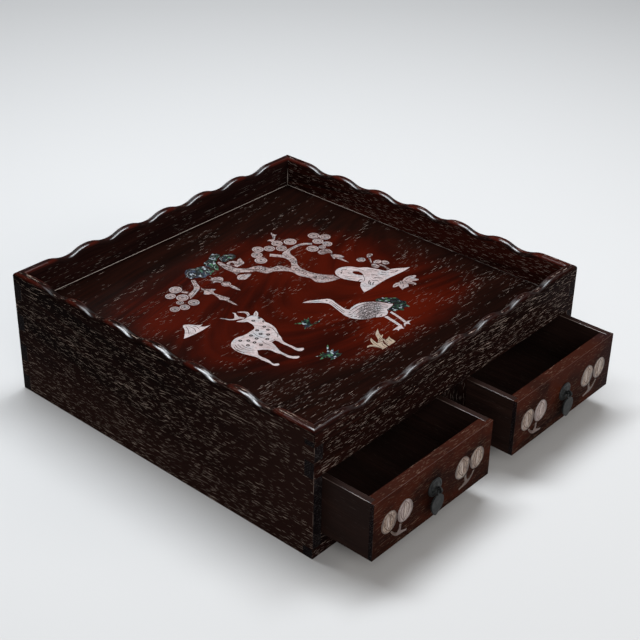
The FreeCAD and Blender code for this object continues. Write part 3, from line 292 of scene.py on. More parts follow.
def rosewood(name, grain, pith, slant, dark, warm, warmth=0.5, pores=0.5, pale=PALE_WAX, glow=None,
             gloss=0.32, seed=0, pore_long=0.024, pore_apart=0.00105, long_lines=0, rim=0, worn=0.5,
             shine=0.005, polish=0.005, crest_gloss=0.95, painted_crest_glow=1, dull_from=TOO_FAR, streaks=None,
             figure=None, crowding=None):
    """Wood with its grain along axis 0, 1 or 2. pith is where the rings' middle line crosses the two
    other axes, and slant is how far it moves there for each metre along the grain. warmth is the share
    of the redder bands, and pores, figure and crowding say where the wax is. rim is how far the rounded
    top is darkened. Its coat is bright where streaks is 1, and dull past dull_from along the grain."""
    finish = Finish(name)
    where = finish.place()
    along = where[grain]
    first, second = [where[axis] for axis in range(3) if axis != grain]

    def grained(lengthwise, crosswise, shift=0, detail=2, roughness=0.5):
        """Noise drawn out along the grain."""
        last = second * crosswise + shift if shift else second * crosswise
        return finish.noise(finish.point(along * lengthwise, first * crosswise, last), detail, roughness)

    wander = (grained(9, 14, seed) - 0.5) * 0.012
    off_first = first - along * slant[0] - pith[0] + wander
    off_second = second - along * slant[1] - pith[1]
    ring = finish.root(off_first * off_first + off_second * off_second)

    def rings(across_rings, lengthwise, shift, detail, roughness=0.5):
        """Noise that follows the rings."""
        return finish.noise(
            finish.point(ring * across_rings, along * lengthwise, seed + shift), detail, roughness
        )

    broad = rings(60, 1.6, 0, 2)
    lines = rings(420, 9, 3, 3, 0.6)
    fine = grained(26, 1300, seed, 2, 0.6)
    band = finish.step(broad * 0.6 + lines * 0.4 + warmth * 0.3, 0.48, 0.78)
    tone = finish.blend(band, dark, warm)
    tone = finish.blend(0.45 - 0.45 * finish.step(fine, 0.3, 0.72), tone, BLACK_VEIN)

    patch = grained(22, 40, seed + 11, 1)
    crowded = finish.step(rings(170, 4, 7, 2, 0.6) * 0.55 + patch * 0.45, 0.42, 0.62)
    wriggle = grained(110, 160, seed, 1) - 0.5
    sway = 0.0008
    if figure is not None:
        inside = figure(finish, where)
        crowded = finish.larger(crowded * 0.7, inside * 1.15)
        sway = 0.0008 + 0.004 * inside
    across = first + second + wander + wriggle * sway
    more = 0 if crowding is None else crowding(finish, where)
    share = 0.18 + 0.7 * (more + pores) + 0.5 * crowded

    def wax_flecks(longer, lean, wider, shift, share):
        """Flecks that many times the usual length and distance, whose rows lean across the grain."""
        return finish.flecks(
            along / (pore_long * longer) + across * lean, across / (pore_apart * wider) + shift, share
        )

    dash = finish.larger(
        finish.flecks(along / pore_long + across * 410 + seed, across / pore_apart, share),
        wax_flecks(0.62, -530, 0.8, seed, share),
    )
    if long_lines:
        drawn_out = finish.step(grained(7, 16, seed + 15, 1), 0.42, 0.62)
        drawn = 0.35 * (more + long_lines) + 0.6 * drawn_out - 0.2
        dash = finish.larger(dash, wax_flecks(2.4, 370, 1.1, seed + 5, drawn))
    wax = finish.blend(
        finish.step(grained(180, 900, 0, 1), 0.3, 0.7), [0.4 * part for part in pale], pale
    )

    outward = finish.facing()
    facing = [finish.size(part) for part in outward]
    squareness = finish.larger(finish.larger(facing[0], facing[1]), facing[2])
    curved = finish.step(1 - squareness, 0.004, 0.05)
    if glow is not None:
        tone = glow(finish, where, tone, lines)
    bright_end = 1 - 0.9 * finish.step(along, dull_from, dull_from + 0.1)
    crest_glow_share = painted_crest_glow
    if streaks is not None:
        lit = streaks(finish, outward, where)
        bright_end = bright_end * lit
        crest_glow_share = painted_crest_glow * (1 - 0.6 * lit)
    if rim:
        on_rim = curved * finish.step(where[2], rim_from, rim_to)
        crest = finish.step(where[2], crest_from, crest_to)
        tone = finish.blend(on_rim * rim, tone, BLACK_RIM)
        # Painted red glow on the crests, weaker where the coat streaks are lit.
        tone = finish.blend(on_rim * crest * (rim * crest_glow_share), tone, PAINTED_CREST_GLOW)
        dash = dash * (1 - 0.8 * on_rim)
    tone = finish.blend(dash * 0.95, tone, wax)

    rub = finish.cloud(where, 70, 3, 0.6)
    below_rim = finish.step(sharp_edges_end - where[2], -0.001, 0.001)
    edge = finish.step(1 - squareness, 0.05, 0.2) * below_rim
    tone = finish.blend(edge * finish.step(rub, 0.38, 0.55) * worn, tone, RUBBED_EDGE)

    spots = finish.step(finish.cloud(where, 1100, 1), 0.58, 0.68)
    end_tone = finish.blend(spots, (0.007, 0.0062, 0.0072), (0.06, 0.055, 0.057))
    end_grain = finish.step(facing[grain], 0.8, 0.95)
    tone = finish.blend(end_grain * 0.85, tone, end_tone)

    return finish.surface({
        "Base Color": tone,
        "Roughness": gloss + 0.14 * rub + 0.25 * dash,
        "Specular IOR Level": shine,
        "Coat Weight": polish + crest_gloss * curved * bright_end * finish.step(outward[2], 0.74, 0.91),
        "Coat Roughness": 0.3,
        "Coat IOR": 1.8,
        "Normal": finish.bumps((fine * 0.3 - dash) * (1 - 0.9 * curved), 0.00006, 0.4),
    })


def dress(material, *names):
    """Give each named piece of the model this finish."""
    for name in names:
        for place in nodes[name].material_slots:
            place.material = material


print("rosewood is ready")

# %% [markdown]
# A hand polish is left only on the rounded rim. It shines where a wave of the rim runs down towards the
# front or the left, and a red glow is painted on the crests beside those highlights. Which way the
# surface faces says where that is, so the streaks stay in place when the camera moves. The left side also
# has a wavy band of crowded pores, and the inner face of a wall has fewer pores than the outer one.

# %% Dress the walls and rails
def side_figure(finish, where):
    """A band of crowded, wavy pores that falls slowly towards the front of the left side."""
    ripple = finish.noise(finish.point(where[1] * 30, where[2] * 50, 6), 2) - 0.5
    off_band = finish.size(where[2] - 0.064 - where[1] * 0.08 + ripple * 0.03)
    return (1 - finish.step(off_band, 0.006, 0.022)) * finish.step(where[1], -0.1, 0.02)


def side_crowding(finish, where):
    """More pores low down and close under the rim, and fewer towards the front."""
    low = 1 - finish.step(where[2], 0.02, 0.05)
    high = finish.step(where[2], 0.086, 0.1)
    front = 1 - finish.step(where[1], -0.13, -0.02)
    return 0.4 * low + 0.12 * high - 0.26 * front


def side_base(finish, where, tone, lines):
    """The side is browner low down and towards the front."""
    low = 1 - finish.step(where[2], 0.01, 0.075)
    front = 1 - finish.step(where[1], -0.14, 0.03)
    return finish.blend(finish.larger(low, front) * 0.75, tone, (0.031, 0.0138, 0.0108))


def front_slopes(finish, outward, where):
    """The rim of a side shines where a wave runs down towards the front, and near the front corner."""
    corner = 1 - finish.step(where[1], -0.15, -0.136)
    return finish.larger(finish.step(-1 * outward[1], -0.04, 0.14), corner)


def left_slopes(finish, outward, where):
    """The rim of the back shines where each wave runs down towards the left."""
    return finish.step(-1 * outward[0], -0.04, 0.14)


def few_inside(axis, face, drop):
    """Pores of a wall that is smooth inside the tray: the outer face keeps all of them."""
    return lambda finish, where: finish.step(where[axis], face - 0.004, face - 0.002) * drop - drop


dress(
    rosewood(
        "side_rosewood", 1, pith=(-0.184, 0.066), slant=(0.03, 0.15), dark=(0.0072, 0.0034, 0.0028),
        warm=(0.024, 0.0088, 0.0066), warmth=0.34, pores=0.32, pale=(0.84, 0.66, 0.54), glow=side_base,
        seed=1, rim=0.9, long_lines=0.72, worn=0.9, shine=0.003, polish=0.002, dull_from=0.05,
        crest_gloss=1, painted_crest_glow=0.75, streaks=front_slopes, figure=side_figure, crowding=side_crowding,
    ),
    "left_side_board",
)
dress(
    rosewood(
        "right_rosewood", 1, pith=(0.205, 0.02), slant=(0.02, -0.12), dark=(0.01, 0.0034, 0.0025),
        warm=(0.05, 0.01, 0.0058), warmth=0.55, pores=0.52, pale=(0.66, 0.5, 0.43), seed=5, rim=0.9,
        worn=0.9, crest_gloss=0.85, streaks=front_slopes, crowding=few_inside(0, 0.18, 0.12),
    ),
    "right_side_board",
)
dress(
    rosewood(
        "rail_rosewood", 0, pith=(-0.1, 0.2), slant=(0.02, 0.02), dark=(0.01, 0.0042, 0.0034),
        warm=(0.034, 0.0104, 0.0074), warmth=0.28, pores=0.4, pale=(0.86, 0.68, 0.58), seed=9, rim=0.7,
        long_lines=0.5, worn=0.9, crest_gloss=0.45, painted_crest_glow=0.25,
    ),
    "front_top_rail", "front_bottom_rail",
)
dress(
    rosewood(
        "back_rosewood", 0, pith=(0.235, 0.05), slant=(0.03, 0.1), dark=(0.016, 0.0066, 0.0058),
        warm=(0.03, 0.01, 0.0078), warmth=0.35, seed=13, rim=0.7, long_lines=0.5, worn=0.9,
        crest_gloss=0.75, streaks=left_slopes, crowding=few_inside(1, 0.2095, 0.85),
    ),
    "back_board",
)
dress(
    rosewood(
        "stile_rosewood", 2, pith=(0.05, -0.1), slant=(0, 0), dark=(0.0046, 0.0022, 0.0018),
        warm=(0.017, 0.0058, 0.0042), warmth=0.3, pores=0.3, seed=17,
    ),
    "centre_stile",
)
print("walls and rails are dressed")

# %% [markdown]
# The tray floor is red in the middle, brightest just in front of the middle, and nearly black along the
# walls. A mask like a rounded square with a ragged edge, laid under the pores, gives that.

# %% Dress the tray floor
def red_middle(finish, where, tone, lines):
    """Red that fades towards the walls and the near left corner, and is brightest front of middle."""
    lean = where[1] * 0.16
    across = finish.maths("POWER", finish.size(where[0] - 0.002 + lean) / 0.148, 3)
    deep = finish.maths("POWER", finish.size(where[1] - 0.028) / 0.128, 3)
    away = finish.maths("POWER", across + deep, 1 / 3)
    ragged = finish.noise(finish.point(where[0] * 16, where[1] * 26, 4), 3, 0.6) - 0.5
    cloud = finish.noise(finish.point(where[0] * 9 + 2, where[1] * 17, 8), 2)
    middle = 1 - finish.step(away + ragged * 0.42, 0.74, 1.08)
    middle = middle * finish.step(where[0] * 0.6 + where[1] * 0.8 + ragged * 0.04, -0.112, -0.066)
    x, y = where[0] - 0.03, where[1] + 0.04
    hot = 1 - finish.step(finish.root(x * x + y * y * 1.6), 0.015, 0.085)
    grain = lines * 0.4 + cloud * 0.6
    red = finish.blend(finish.step(grain, 0.36, 0.62), (0.015, 0.002, 0.001), (0.048, 0.004, 0.0013))
    red = finish.blend(hot * finish.step(grain, 0.3, 0.55), red, (0.066, 0.005, 0.0014))
    return finish.blend(middle * 0.97, tone, red)


def floor_crowding(finish, where):
    """Hardly any pores along the back, and most of them at the front and left."""
    back = finish.step(where[1], 0.1, 0.17)
    front = 1 - finish.step(where[1], -0.1, -0.03)
    left = 1 - finish.step(where[0], -0.13, -0.06)
    return 0.22 * front + 0.18 * left - 0.08 * back


dress(
    rosewood(
        "floor_rosewood", 0, pith=(0.02, -0.09), slant=(0.05, 0.1), dark=(0.0062, 0.0023, 0.0016),
        warm=(0.0155, 0.0042, 0.0026), warmth=0.3, pores=-0.43, pale=(0.5, 0.385, 0.33), glow=red_middle,
        gloss=0.3, seed=21, worn=0, pore_long=0.025, pore_apart=0.00082, crowding=floor_crowding,
    ),
    "tray_floor_panel",
)
print("tray floor is dressed")

# %% [markdown]
# The drawer fronts are the reddest wood, mottled with orange. The drawer boxes behind them are a plainer,
# dull brown wood, and nothing inside the case was ever polished.

# %% Dress the drawers and the inside
def mottled(finish, where, tone, lines):
    """Clouds of red brown and, along the top of a front, orange red."""
    clouds = finish.noise(finish.point(where[0] * 26, 1, where[2] * 46), 3, 0.55)
    high = finish.step(where[2], 0.05, 0.072)
    near_left = 1 - finish.step(where[0], -0.13, -0.07)
    patch_off = finish.size(where[0] - 0.073) * 1.4 + finish.size(where[2] - 0.059)
    patch = 1 - finish.step(patch_off, 0.006, 0.026)
    share = finish.step(clouds + 0.16 * high + 0.06 * near_left * high + 0.14 * patch, 0.44, 0.74)
    tone = finish.blend(share * 0.82, tone, (0.066, 0.014, 0.0064))
    upward = finish.step(finish.facing()[2], 0.7, 0.95)
    tone = finish.blend(upward * 0.5, tone, (0.009, 0.0052, 0.0046))
    far_end = finish.step(where[0], 0.135, 0.17)
    return finish.blend(far_end * 0.6, tone, (0.013, 0.01, 0.012))


def both_drawers(*parts):
    return [f"{side}_drawer_{part}" for side in ("left", "right") for part in parts]


dress(
    rosewood(
        "drawer_front_rosewood", 0, pith=(-0.26, 0.09), slant=(0.02, 0.06), dark=(0.013, 0.0048, 0.0034),
        warm=(0.036, 0.01, 0.0054), pores=0.2, pale=(0.25, 0.155, 0.11), glow=mottled, seed=25,
        worn=0.15, long_lines=0.4, pore_long=0.018, pore_apart=0.001,
    ),
    *both_drawers("front"),
)
UNPOLISHED = {"warmth": 0.3, "pale": (0.09, 0.07, 0.06), "shine": 0.03}
BOX_WOOD = {
    "pith": (0.05, 0.12), "slant": (0, 0.04), "dark": (0.025, 0.013, 0.0105),
    "warm": (0.038, 0.018, 0.0138), "pores": -0.3, "gloss": 0.5, **UNPOLISHED,
}
dress(
    rosewood("drawer_side_wood", 1, seed=29, worn=1, **BOX_WOOD),
    *both_drawers("left_side", "right_side", "bottom"),
)
dress(rosewood("drawer_back_wood", 0, seed=31, **BOX_WOOD), *both_drawers("back"))
dress(
    rosewood(
        "inner_wood", 1, pith=(0.02, 0.3), slant=(0, 0.02), dark=(0.018, 0.011, 0.0085),
        warm=(0.03, 0.017, 0.012), pores=-0.2, gloss=0.6, seed=35, **UNPOLISHED,
    ),
    "left_partition", "right_partition", "bottom_board",
)
print("drawers and inside are dressed")

# %% [markdown]
# The inlay is slices of shell. The deer, the crane and the rock are pinkish white mother-of-pearl, the
# trunk, the sprays and the needles are a browner one, the crown, the crane's tail and the green grass are
# abalone, and the tan grass and the fruits are a duller shell. Shell grows in thin layers, and a cut
# through them shows fine wavy lines. So each finish has a pale ground, two soft tints and darker lines.

# %% Cut the shell
def shell(name, pale, blush, cool, deep, fineness=1, layers=260, seed=0, mottle=0.5, over=None):
    """Shell with a pale ground, two soft tints, and darker growth lines."""
    finish = Finish(name)
    where = finish.place()
    x, y, z = [part * (150 * fineness) for part in where]
    cloud = finish.noise(finish.point(x, y, z + seed), 3, 0.6)
    x, y, z = [part * (90 * fineness) for part in where]
    other = finish.noise(finish.point(x + 9, y, z + seed), 2)
    sweep = where[0] * 0.8 + where[1] * 0.5 + where[2] * 0.7 + cloud * (0.012 / fineness)
    bands = finish.noise(finish.point(sweep * layers, where[1] * 25, seed), 2)
    grit = finish.cloud(where, 700, 2, 0.6)
    tone = finish.blend(finish.step(cloud, 0.42, 0.66), pale, blush)
    tone = finish.blend(finish.step(other, 0.5, 0.72), tone, cool)
    tone = finish.blend(finish.step(bands * 0.5 + grit * 0.5, 0.45, 0.58) * mottle, tone, deep)
    if over is not None:
        tone = over(finish, where, tone)
    return finish.surface({
        "Base Color": tone,
        "Roughness": 0.26 + 0.2 * cloud,
        "Specular IOR Level": 0.4,
        "Coat Weight": 0.1,
        "Coat Roughness": 0.15,
        "Normal": finish.bumps(bands + grit * 0.4, 0.00006, 0.5),
    })


dress(
    shell("rose_shell", (0.47, 0.4, 0.395), (0.49, 0.38, 0.37), (0.4, 0.395, 0.405), (0.2, 0.145, 0.135),
          mottle=0.55),
    "inlay_rock", "inlay_small_hill", "inlay_deer",
)


def feathers(finish, where, tone):
    """Small dark-edged feathers over the crane's back and wing, and none on its neck and legs."""
    x, y = where[0] - 0.0265, where[1] + 0.033
    across = x * 0.9 + y * 0.44
    along = y * 0.9 - x * 0.44
    away = finish.root(across * across / 0.00042 + along * along / 0.000105)
    body = 1 - finish.step(away, 0.8, 1.05)
    feather = finish.node(
        "TexVoronoi", {"feature": "DISTANCE_TO_EDGE"},
        {"Vector": finish.point(across * 420, along * 620, 3), "Scale": 1},
    )
    edge = Amount(finish, feather.outputs["Distance"])
    return finish.blend((1 - finish.step(edge, 0.06, 0.22)) * body * 0.85, tone, (0.035, 0.024, 0.024))


dress(
    shell("feather_shell", (0.46, 0.4, 0.4), (0.48, 0.38, 0.375), (0.42, 0.42, 0.43), (0.2, 0.155, 0.15),
          seed=1, mottle=0.5, over=feathers),
    "inlay_crane",
)
dress(
    shell("brown_rose_shell", (0.35, 0.28, 0.27), (0.38, 0.265, 0.25), (0.27, 0.26, 0.27),
          (0.055, 0.032, 0.028), fineness=1.4, layers=420, seed=2, mottle=0.92),
    "inlay_pine_trunk", "inlay_hanging_sprays", "inlay_rock_flowers",
)
dress(
    shell("needle_shell", (0.36, 0.285, 0.275), (0.38, 0.27, 0.255), (0.31, 0.3, 0.31),
          (0.12, 0.075, 0.065), fineness=1.7, layers=420, seed=4, mottle=0.6),
    "inlay_pine_needles_left", "inlay_pine_needles_right", "inlay_leaf_spray",
)


def abalone(name):
    """Shell in small patches: black, green, blue and a pale glint, drawn out one way."""
    finish = Finish(name)
    where = finish.place()
    sway = finish.noise(finish.point(where[0] * 120, where[1] * 120, 2), 1) - 0.5
    pick = finish.patches(
        finish.point((where[0] + sway * 0.006) * 620, (where[1] + sway * 0.006) * 380, 1)
    )
    drift = finish.noise(finish.point(where[0] * 70, where[1] * 70, 9), 1)
    glint = finish.noise(finish.point(where[0] * 900, where[1] * 600, 4), 1)
    violet_end = (1 - finish.step(where[0], -0.032, -0.022)) * finish.step(where[1], 0.09, 0.1)
    ground = finish.blend(finish.step(drift, 0.42, 0.54), (0.009, 0.014, 0.028), (0.01, 0.038, 0.016))
    ground = finish.blend(violet_end * 0.8, ground, (0.012, 0.01, 0.034))
    bright = finish.blend(violet_end * 0.8, (0.04, 0.12, 0.054), (0.03, 0.026, 0.085))
    tone = finish.blend(finish.step(pick, 0.48, 0.54), (0.003, 0.005, 0.005), ground)
    tone = finish.blend(finish.step(pick, 0.8, 0.84), tone, bright)
    tone = finish.blend(finish.step(pick, 0.91, 0.94), tone, (0.28, 0.32, 0.35))
    tone = finish.blend(finish.step(glint, 0.75, 0.82) * 0.8, tone, (0.4, 0.44, 0.45))
    return finish.surface({
        "Base Color": tone,
        "Roughness": 0.24 + 0.2 * pick,
        "Specular IOR Level": 0.2,
        "Normal": finish.bumps(pick, 0.00005, 0.4),
    })


dress(abalone("green_shell"), "inlay_pine_crown", "inlay_crane_tail", "inlay_green_grass")
dress(
    shell("tan_shell", (0.38, 0.295, 0.215), (0.34, 0.235, 0.165), (0.42, 0.35, 0.29),
          (0.15, 0.095, 0.065), layers=300, seed=6),
    "inlay_tan_grass",
)
print("shell of the tray is cut")

# %% [markdown]
# Each drawer front has two pairs of fruits. The right fruit of the left pair is pinkish white and the
# rest are tan. Every flat fruit has painted shade along its outline and a painted highlight, a pale line,
# near its middle. The fruits' middles lie evenly about each pull, so folding x over three times measures
# every fruit from its own middle with one sum.

# %% Cut the fruits
drawer_middle = 0.09325
pair_from_pull = 0.047
fruit_from_stem = 0.01
fruit_height = 0.0479
fruit_half_width = 0.0094
fruit_half_height = 0.0102


def fruit_colours(finish, where, tone):
    """Painted shade along the outline, brown gaps between the lobes, a painted highlight near the middle,
    and one pink fruit on each drawer.
    """
    folded = finish.size(finish.size(finish.size(where[0]) - drawer_middle) - pair_from_pull)
    across = (folded - fruit_from_stem) / fruit_half_width
    high = (where[2] - fruit_height) / fruit_half_height
    away = finish.root(across * across + high * high)
    streaks = finish.noise(finish.point(where[0] * 700, 3, where[2] * 120), 2)
    pink = 0
    for middle, end in ((-drawer_middle, -0.115), (drawer_middle, 0.07)):
        right_of_stem = finish.step(where[0] - (middle - pair_from_pull), -0.0005, 0.0005)
        pink = pink + right_of_stem * finish.step(end - where[0], -0.001, 0.001)
    tone = finish.blend(pink * 0.8, tone, (0.46, 0.37, 0.36))
    lobes = finish.noise(finish.point(where[0] * 420, 7, where[2] * 170), 1)
    gaps = 1 - finish.step(finish.size(lobes - 0.5), 0.02, 0.07)
    tone = finish.blend(gaps * (0.75 - 0.35 * pink), tone, (0.12, 0.06, 0.04))
    heart = (1 - finish.step(away, 0.4, 0.8)) * finish.step(high, -0.8, 0.5)
    heart = heart * (0.45 - 0.35 * pink) * finish.step(streaks, 0.35, 0.6)
    tone = finish.blend(heart, tone, (0.15, 0.075, 0.05))
    # A painted highlight: a pale line near the middle of each fruit.
    painted_highlight = 1 - finish.step(finish.size(across - high * 0.1 - 0.12), 0.05, 0.24)
    painted_highlight = painted_highlight * (1 - finish.step(away, 0.45, 0.85))
    tone = finish.blend(painted_highlight * 0.8, tone, (0.64, 0.54, 0.48))
    # Painted shade towards each fruit's sides and all round its outline.
    sides = finish.step(finish.size(across + high * 0.25), 0.55, 0.92)
    painted_shade = finish.larger(sides, finish.step(away, 0.82, 0.98) * 0.8)
    return finish.blend(painted_shade * (0.86 - 0.16 * pink), tone, (0.06, 0.03, 0.021))


dress(
    shell("fruit_shell", (0.44, 0.335, 0.255), (0.42, 0.285, 0.21), (0.48, 0.41, 0.35),
          (0.18, 0.11, 0.078), layers=300, seed=6, over=fruit_colours),
    *both_drawers("inlay_left", "inlay_right"),
)
print("fruits are cut")

# %% [markdown]
# Fine lines are cut into the shell and filled with dark wax: spots on the deer, feathers on the crane, a
# rosette on every round tuft of needles. Each line could be painted in a material, but then it would need
# a picture. Here a stroke is a few points, and the line through them becomes a thin closed strip that
# lies on the shell and narrows at both ends.

# %% Write the graver
def through(stroke, steps=5):
    """A smooth line through the points of a stroke, which is written as x and y by turns."""
    points = [Vector(point) for point in zip(stroke[::2], stroke[1::2])]
    if len(points) == 2:
        return points
    ends = [points[0], *points, points[-1]]
    line = []
    for a, b, c, d in zip(ends, ends[1:], ends[2:], ends[3:]):
        bend = 2 * a - 5 * b + 4 * c - d
        twist = 3 * b - a - 3 * c + d
        for step in range(steps):
            t = step / steps
            line.append(0.5 * (2 * b + (c - a) * t + bend * t * t + twist * t ** 3))
    return [*line, points[-1]]


def ring_line(x, y, radius, sides=14):
    """A closed round line."""
    turns = [2 * math.pi * side / sides for side in range(sides)]
    return [Vector((x + radius * math.cos(turn), y + radius * math.sin(turn))) for turn in turns]


def dark_fill(name, dark, pale):
    """Wax that has darkened in the lines, thinner in places."""
    finish = Finish(name)
    thin = finish.cloud(finish.place(), 500)
    return finish.surface({
        "Base Color": finish.blend(finish.step(thin, 0.4, 0.7), dark, pale),
        "Roughness": 0.45 + 0.2 * thin,
        "Specular IOR Level": 0.1,
    })


boldness = 1.35
line_fill = dark_fill("line_fill", (0.006, 0.004, 0.004), (0.022, 0.013, 0.011))


class Graver:
    """Gathers engraved lines, in millimetres of a drawing, and makes one mesh of them."""

    def __init__(self, spot):
        self.spot = spot
        self.points = []
        self.faces = []

    def strip(self, line, width, closed=False, high=0.04):
        """A closed strip with a low ridge along the line."""
        count = len(line)
        start = len(self.points)
        for number, here in enumerate(line):
            after = line[(number + 1) % count] if closed or number < count - 1 else here
            before = line[number - 1] if closed or number else here
            side = Vector((before[1] - after[1], after[0] - before[0])).normalized()
            near_end = min(number, count - 1 - number) / max(count - 1, 1)
            half = boldness * width / 2 * (1 if closed else min(1, 0.35 + 3 * near_end))
            for shift, lift in ((-half, -0.002), (half, -0.002), (0, high)):
                self.points.append(self.spot(here[0] + side[0] * shift, here[1] + side[1] * shift, lift))
        for number in range(count if closed else count - 1):
            a = start + 3 * number
            b = start + 3 * ((number + 1) % count)
            self.faces += [(a, b, b + 1, a + 1), (a + 1, b + 1, b + 2, a + 2), (a + 2, b + 2, b, a)]
        if not closed:
            last = start + 3 * (count - 1)
            self.faces += [(start, start + 1, start + 2), (last + 2, last + 1, last)]

    def lines(self, width, *strokes):
        for stroke in strokes:
            self.strip(through(stroke), width)

    def rings(self, width, *places):
        for x, y, radius in places:
            self.strip(ring_line(x, y, radius), width, closed=True)

    def finish(self, name, slot, body="case", fill=line_fill):
        mesh = bpy.data.meshes.new(name)
        mesh.from_pydata(self.points, [], self.faces)
        mesh.materials.append(fill)
        mesh.update()
        made = bpy.data.objects.new(name, mesh)
        bpy.context.scene.collection.objects.link(made)
        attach(made, body)


picture_middle = 29.5
floor_top = 92
drawer_face = -201.5
motif_height = 47.55


def on_floor(x, y, lift):
    return (x / 1000, (y + picture_middle) / 1000, (floor_top + lift) / 1000)


print("graver is ready")

# %% [markdown]
# The deer has rows of ringed spots, two eyes, a mouth, and a few lines at its haunch, shoulder, ears and
# hooves.

# %% Engrave the deer
deer = Graver(on_floor)
deer.rings(
    1,
    (-90, -14.2, 1.15), (-85.2, -19.3, 1.15), (-90.8, -24.3, 1.15), (-83.6, -25.2, 1.15),
    (-82.6, -32, 1.15), (-77.4, -15, 1.15), (-77.6, -22, 1.15), (-72, -29.4, 1.15), (-69.7, -19.3, 1.15),
    (-67.4, -12.8, 1.15), (-58.7, -13, 1.1), (-60.2, -19, 1.1), (-66.1, -24.8, 1.15), (-58, 1, 1.1),
    (-51, 0.5, 0.7), (-52.4, -6, 0.6),
)
deer.lines(
    0.45,
    (-97.5, -15.5, -100, -21, -98.6, -27), (-95.2, -16, -97.6, -23.5, -95.6, -30.5, -92.2, -34.6),
    (-102, -21, -102.2, -27, -99.5, -32), (-77, -27, -78.3, -33, -77.6, -39),
    (-58, -25, -60, -30.5, -64.2, -34), (-74.5, -33.8, -71, -34.6, -67, -34), (-64.5, -11.5, -61, -15.8),
    (-66, -16.2, -63, -20), (-62.3, -8.5, -58.8, -11), (-58.2, -4.6, -55.6, -7.4, -53, -7.6),
    (-66.8, 9.2, -64, 6.6, -62.3, 6), (-46, 9.3, -48.6, 6.6, -50.4, 5.6),
    (-74.3, 24, -70.6, 18.6, -67.5, 15.9), (-62.6, 12.5, -61.3, 16.5, -60.4, 20),
    (-53, 11.5, -52.4, 15, -54.5, 19), (-88, -34.5, -84.5, -37.5), (-84, -36, -80.5, -40),
    (-100.5, -17, -103, -23, -101.5, -30.5), (-93.5, -19, -94.6, -25, -92.4, -31.5),
    (-72.5, -12.5, -74, -19.5, -73, -26.5), (-56.5, -14.5, -56, -20.5, -59, -27.5),
)
deer.lines(
    0.34,
    (-98.4, -42, -98, -54), (-80.4, -44, -80.2, -58), (-66.8, -42, -66.6, -56),
    (-97.6, -60.5, -95.2, -61.4), (-81, -62.5, -78, -63.2), (-67.6, -59, -64.8, -59.8),
)
deer.finish("deer_lines", "shell_rose")

# %% [markdown]
# The crane's back and wing are covered with rows of feathers: a few long curves, and short barbs between
# them. The barbs are placed by a loop that walks along each pair of neighbouring curves.

# %% Engrave the crane
crane = Graver(on_floor)
feather_rows = [
    (13.5, -50.5, 21, -49.8, 29, -50.2, 36.5, -54.2, 42, -60, 45.8, -65.5),
    (11.5, -54.5, 20, -53.6, 28.5, -54, 35.5, -57.8, 41, -63, 45.6, -67.8),
    (11, -58.5, 19.5, -57.6, 28, -58, 34.5, -61.4, 40, -66, 45, -69.6),
    (12, -62.5, 20, -61.8, 27.5, -62.2, 33.5, -65, 38.5, -68.6, 42.5, -71),
    (15, -66.3, 21.5, -66, 27.5, -66.6, 32.5, -69, 36.5, -72),
    (19.5, -70.2, 24, -70.2, 28.5, -71.4, 33, -74.6),
]
for row in feather_rows:
    crane.lines(0.62, row)
for upper, lower in zip(feather_rows, feather_rows[1:]):
    upper_line = through(upper, 6)
    lower_line = through(lower, 6)
    for number in range(1, min(len(upper_line), len(lower_line)) - 1):
        start = upper_line[number] * 0.9 + lower_line[number] * 0.1
        end = upper_line[number] * 0.25 + lower_line[number] * 0.75
        crane.strip([start, end], 0.42)
crane.lines(
    0.5,
    (14.6, -27.4, 13, -35, 11, -42, 9.6, -48), (12.4, -28.5, 10.6, -36, 8.6, -43, 7.2, -49),
    (12.2, -27.2, 14, -26.6, 15.8, -27.4), (0, -12.6, 5, -16.6, 9.4, -21.2),
    (38, -72.9, 43.5, -73, 49.6, -71.4), (27.2, -79, 31.5, -80, 37.5, -79),
)
crane.lines(
    0.7,
    (7.6, -53.2, 9.2, -54.6, 10.8, -54.2), (8.4, -59.4, 10, -60.6, 11.4, -60),
    (11.8, -64.4, 13.6, -65.6, 15, -64.8), (15.8, -68.4, 17.6, -69.4, 19.2, -68.6),
    (6.6, -56.8, 7.8, -57.6, 9, -57.2), (9.4, -62.6, 10.8, -63.6, 12, -63),
    (13.2, -67.6, 14.8, -68.6, 16.2, -68), (9.8, -51.2, 11, -52.2, 12.2, -51.6),
    (19, -72.6, 21, -73.6, 22.8, -72.8), (24.6, -74.8, 26.8, -75.6, 28.8, -74.8),
)
crane.rings(0.55, (13.4, -22.6, 0.55))
crane.lines(
    0.35,
    (26, -88, 28.4, -88.4), (34.8, -86, 37.2, -86.4), (27.6, -80.5, 27.2, -86.5), (26.6, -90, 25.4, -97),
    (37.2, -80, 36.4, -85), (35.4, -88, 33.6, -96.5),
)
crane.finish("crane_lines", "shell_rose")

tail = Graver(on_floor)
tail.lines(
    0.6,
    (44.6, -56.5, 49.5, -58.5, 54, -62.5, 57.5, -67), (46, -60, 50.5, -63, 55, -67.5, 58.5, -72),
    (48.5, -64.5, 52.5, -68.5, 56.5, -73.5, 58, -78), (50.5, -70.5, 53, -74.5, 55, -80.5),
    (45.5, -74, 49, -77, 51, -80.5), (41, -75, 44.5, -78, 47.5, -82), (48, -55.6, 52, -57.6, 55.5, -61),
)
tail.finish("crane_tail_lines", "shell_green")
print("deer and crane are engraved")

# %% [markdown]
# Every round tuft of needles is a rosette: a ring near its rim, short rays, and a dot in the middle. The
# tufts' middles and radii are the ones that the shell was cut to.

